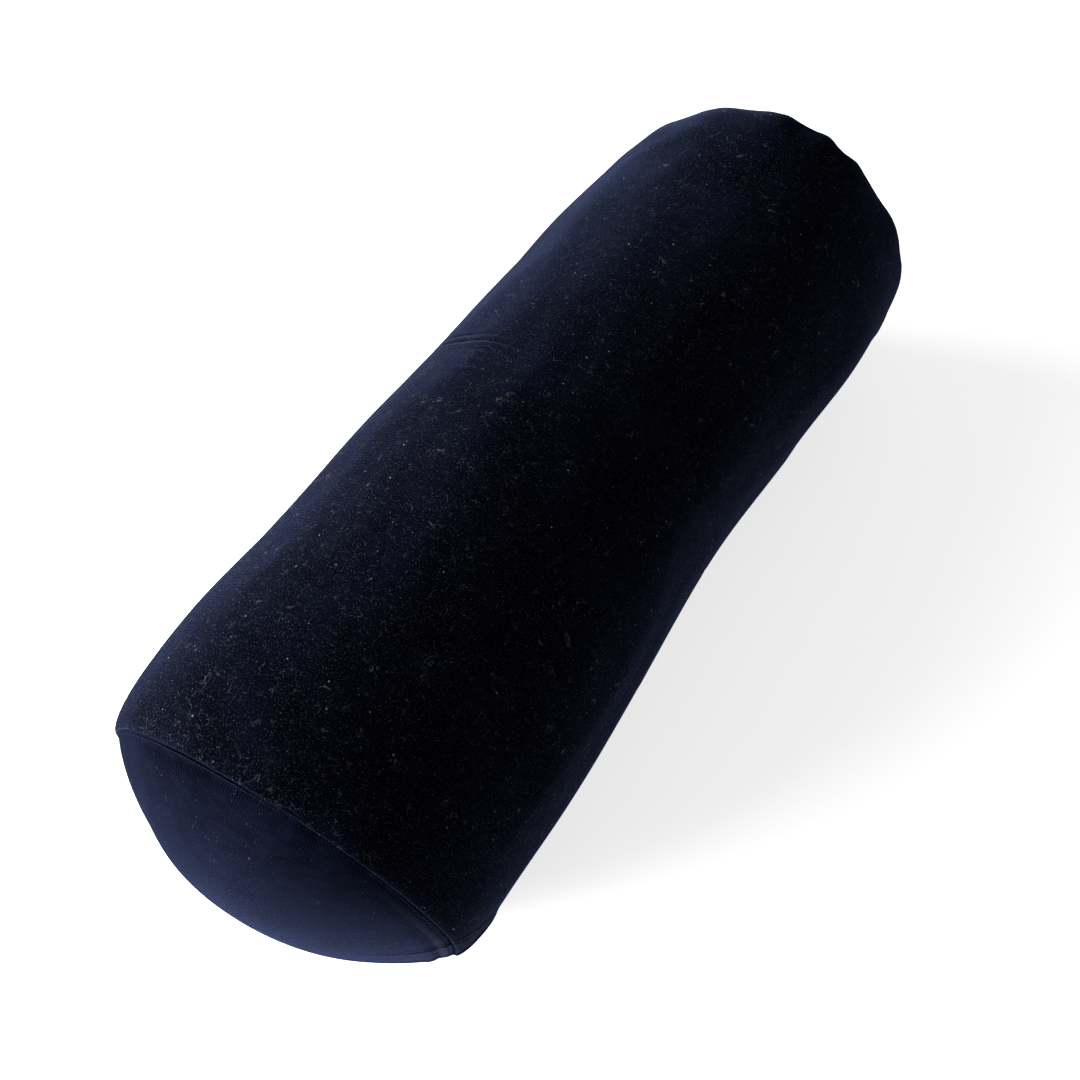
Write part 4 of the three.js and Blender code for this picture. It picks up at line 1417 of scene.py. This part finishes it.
NAVY_SHEEN = (0.2, 0.25, 0.4, 1)
WHITE = (1, 1, 1, 1)
finishes = {
    "cover_velvet": body_velvet,
    "navy_thread": woven("navy thread", (0.002, 0.0024, 0.005, 1), (0.009, 0.011, 0.022, 1),
                         0.0003, 0.9, 0.05, NAVY_SHEEN),
    "zip_tape": woven("navy zip tape", (0.003, 0.0035, 0.007, 1), (0.009, 0.011, 0.019, 1), 0.0005,
                      0.85, 0.3, NAVY_SHEEN),
    "zip_coil": smooth("nylon coil", (0.006, 0.007, 0.012, 1), (0.012, 0.013, 0.02, 1), 0.32, 0.0, 0.2),
    "zip_metal": smooth("enamelled zinc", (0.008, 0.009, 0.014, 1), (0.016, 0.018, 0.026, 1), 0.4, 0.5,
                        0.08),
    "liner_cotton": woven("cotton liner", (0.62, 0.6, 0.54, 1), (0.82, 0.8, 0.74, 1), 0.0007, 0.9,
                          0.15, WHITE),
    "liner_thread": woven("white thread", (0.72, 0.7, 0.66, 1), (0.88, 0.86, 0.82, 1), 0.0003, 0.8,
                          0.1, WHITE),
    "filling_fibre": loose_fibre("polyester fibre"),
}
print("finishes", sorted(finishes))

# %% [markdown]
# ## Dressing the pieces
# Each new piece takes the finish of the slot that it stands for. The zip's metal keeps its shape
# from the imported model, with a small bevel on every edge, because cast metal has no sharp ones.

# %% Give every piece its finish
def dress(piece, material):
    """Puts one material on a piece, in place of any it has."""
    if not piece.material_slots:
        piece.data.materials.append(material)
    for holder in piece.material_slots:
        holder.material = material


for piece in list(bpy.context.scene.objects):
    if "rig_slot" in piece:
        dress(piece, finishes[piece["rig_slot"]])
dress(near_panel, panel_velvet)
dress(far_panel, panel_velvet)
replaced = {node for piece in bpy.context.scene.objects for node in piece.get("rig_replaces", [])}
slots = {row["node"]: row["material_slot"] for row in frame["record"]["subparts"]}
for name, node in frame["nodes"].items():
    if name not in replaced:
        dress(node, finishes[slots[name]])
        print("kept node", name, "finish", slots[name])

# %% Bevel the zip's metal
for name, width in (("zip_slider", 0.25), ("zip_pull_tab", 0.3), ("zip_top_stop", 0.2),
                    ("zip_bottom_stop", 0.2)):
    bevel = frame["nodes"][name].modifiers.new("worn edges", "BEVEL")
    bevel.width = width * MM
    bevel.segments = 3
    bevel.limit_method = "ANGLE"
    bevel.angle_limit = math.radians(35)
print("bevelled zip metal")

# %% [markdown]
# ## Floor and light
# A wide pale floor, a soft low window light from the left, and a weak even light from all round.
# Low light from the side is what shows velvet: its lit side glows and its top stays black. The
# floor gives off some light of its own, so that it is white all over and its shadows stay pale.

# %% Floor
FLOOR_GLOW = 0.72


def pale_floor():
    """A matt floor with the faintest unevenness and a glow of its own."""
    bpy.ops.mesh.primitive_plane_add(size=14, location=(0, 0, 0))
    floor = bpy.context.object
    floor.name = "floor"
    material = bpy.data.materials.new("pale floor")
    material.use_nodes = True
    tree = material.node_tree
    where = tree.nodes.new("ShaderNodeTexCoord").outputs["Object"]
    tone = noise(tree, where, 3.0, 3.0)
    shader = tree.nodes["Principled BSDF"]
    place(tree, blend_colour(tree, tone, (0.93, 0.93, 0.93, 1), (0.95, 0.95, 0.95, 1)),
          shader.inputs["Base Color"])
    shader.inputs["Roughness"].default_value = 0.9
    shader.inputs["Specular IOR Level"].default_value = 0.1
    shader.inputs["Emission Color"].default_value = WHITE
    shader.inputs["Emission Strength"].default_value = FLOOR_GLOW
    dress(floor, material)
    print("floor", [round(v, 1) for v in floor.dimensions[:2]], "m")


pale_floor()

# %% Lights
AIM_HEIGHT = 60 * MM
EVEN_LIGHT = 0.18


def area_light(name, towards, distance, size, power, colour):
    """A soft rectangular light that looks at the pillow's middle from a direction."""
    direction = Vector(towards).normalized()
    light = bpy.data.lights.new(name, "AREA")
    light.shape = "RECTANGLE"
    light.size, light.size_y = size
    light.energy = power
    light.color = colour
    holder = bpy.data.objects.new(name, light)
    holder.location = Vector((0, 0, AIM_HEIGHT)) + direction * distance
    holder.rotation_euler = (-direction).to_track_quat("-Z", "Y").to_euler()
    bpy.context.scene.collection.objects.link(holder)
    print(f"{name}: {power} W from {[round(v, 2) for v in direction]}")


area_light("window", (-0.64, 0.82, 0.32), 1.6, (1.8, 0.9), 120, (0.95, 0.97, 1.0))
world = bpy.data.worlds.new("even light")
world.use_nodes = True
world.node_tree.nodes["Background"].inputs["Color"].default_value = WHITE
world.node_tree.nodes["Background"].inputs["Strength"].default_value = EVEN_LIGHT
bpy.context.scene.world = world
bpy.context.scene.view_settings.view_transform = "Standard"
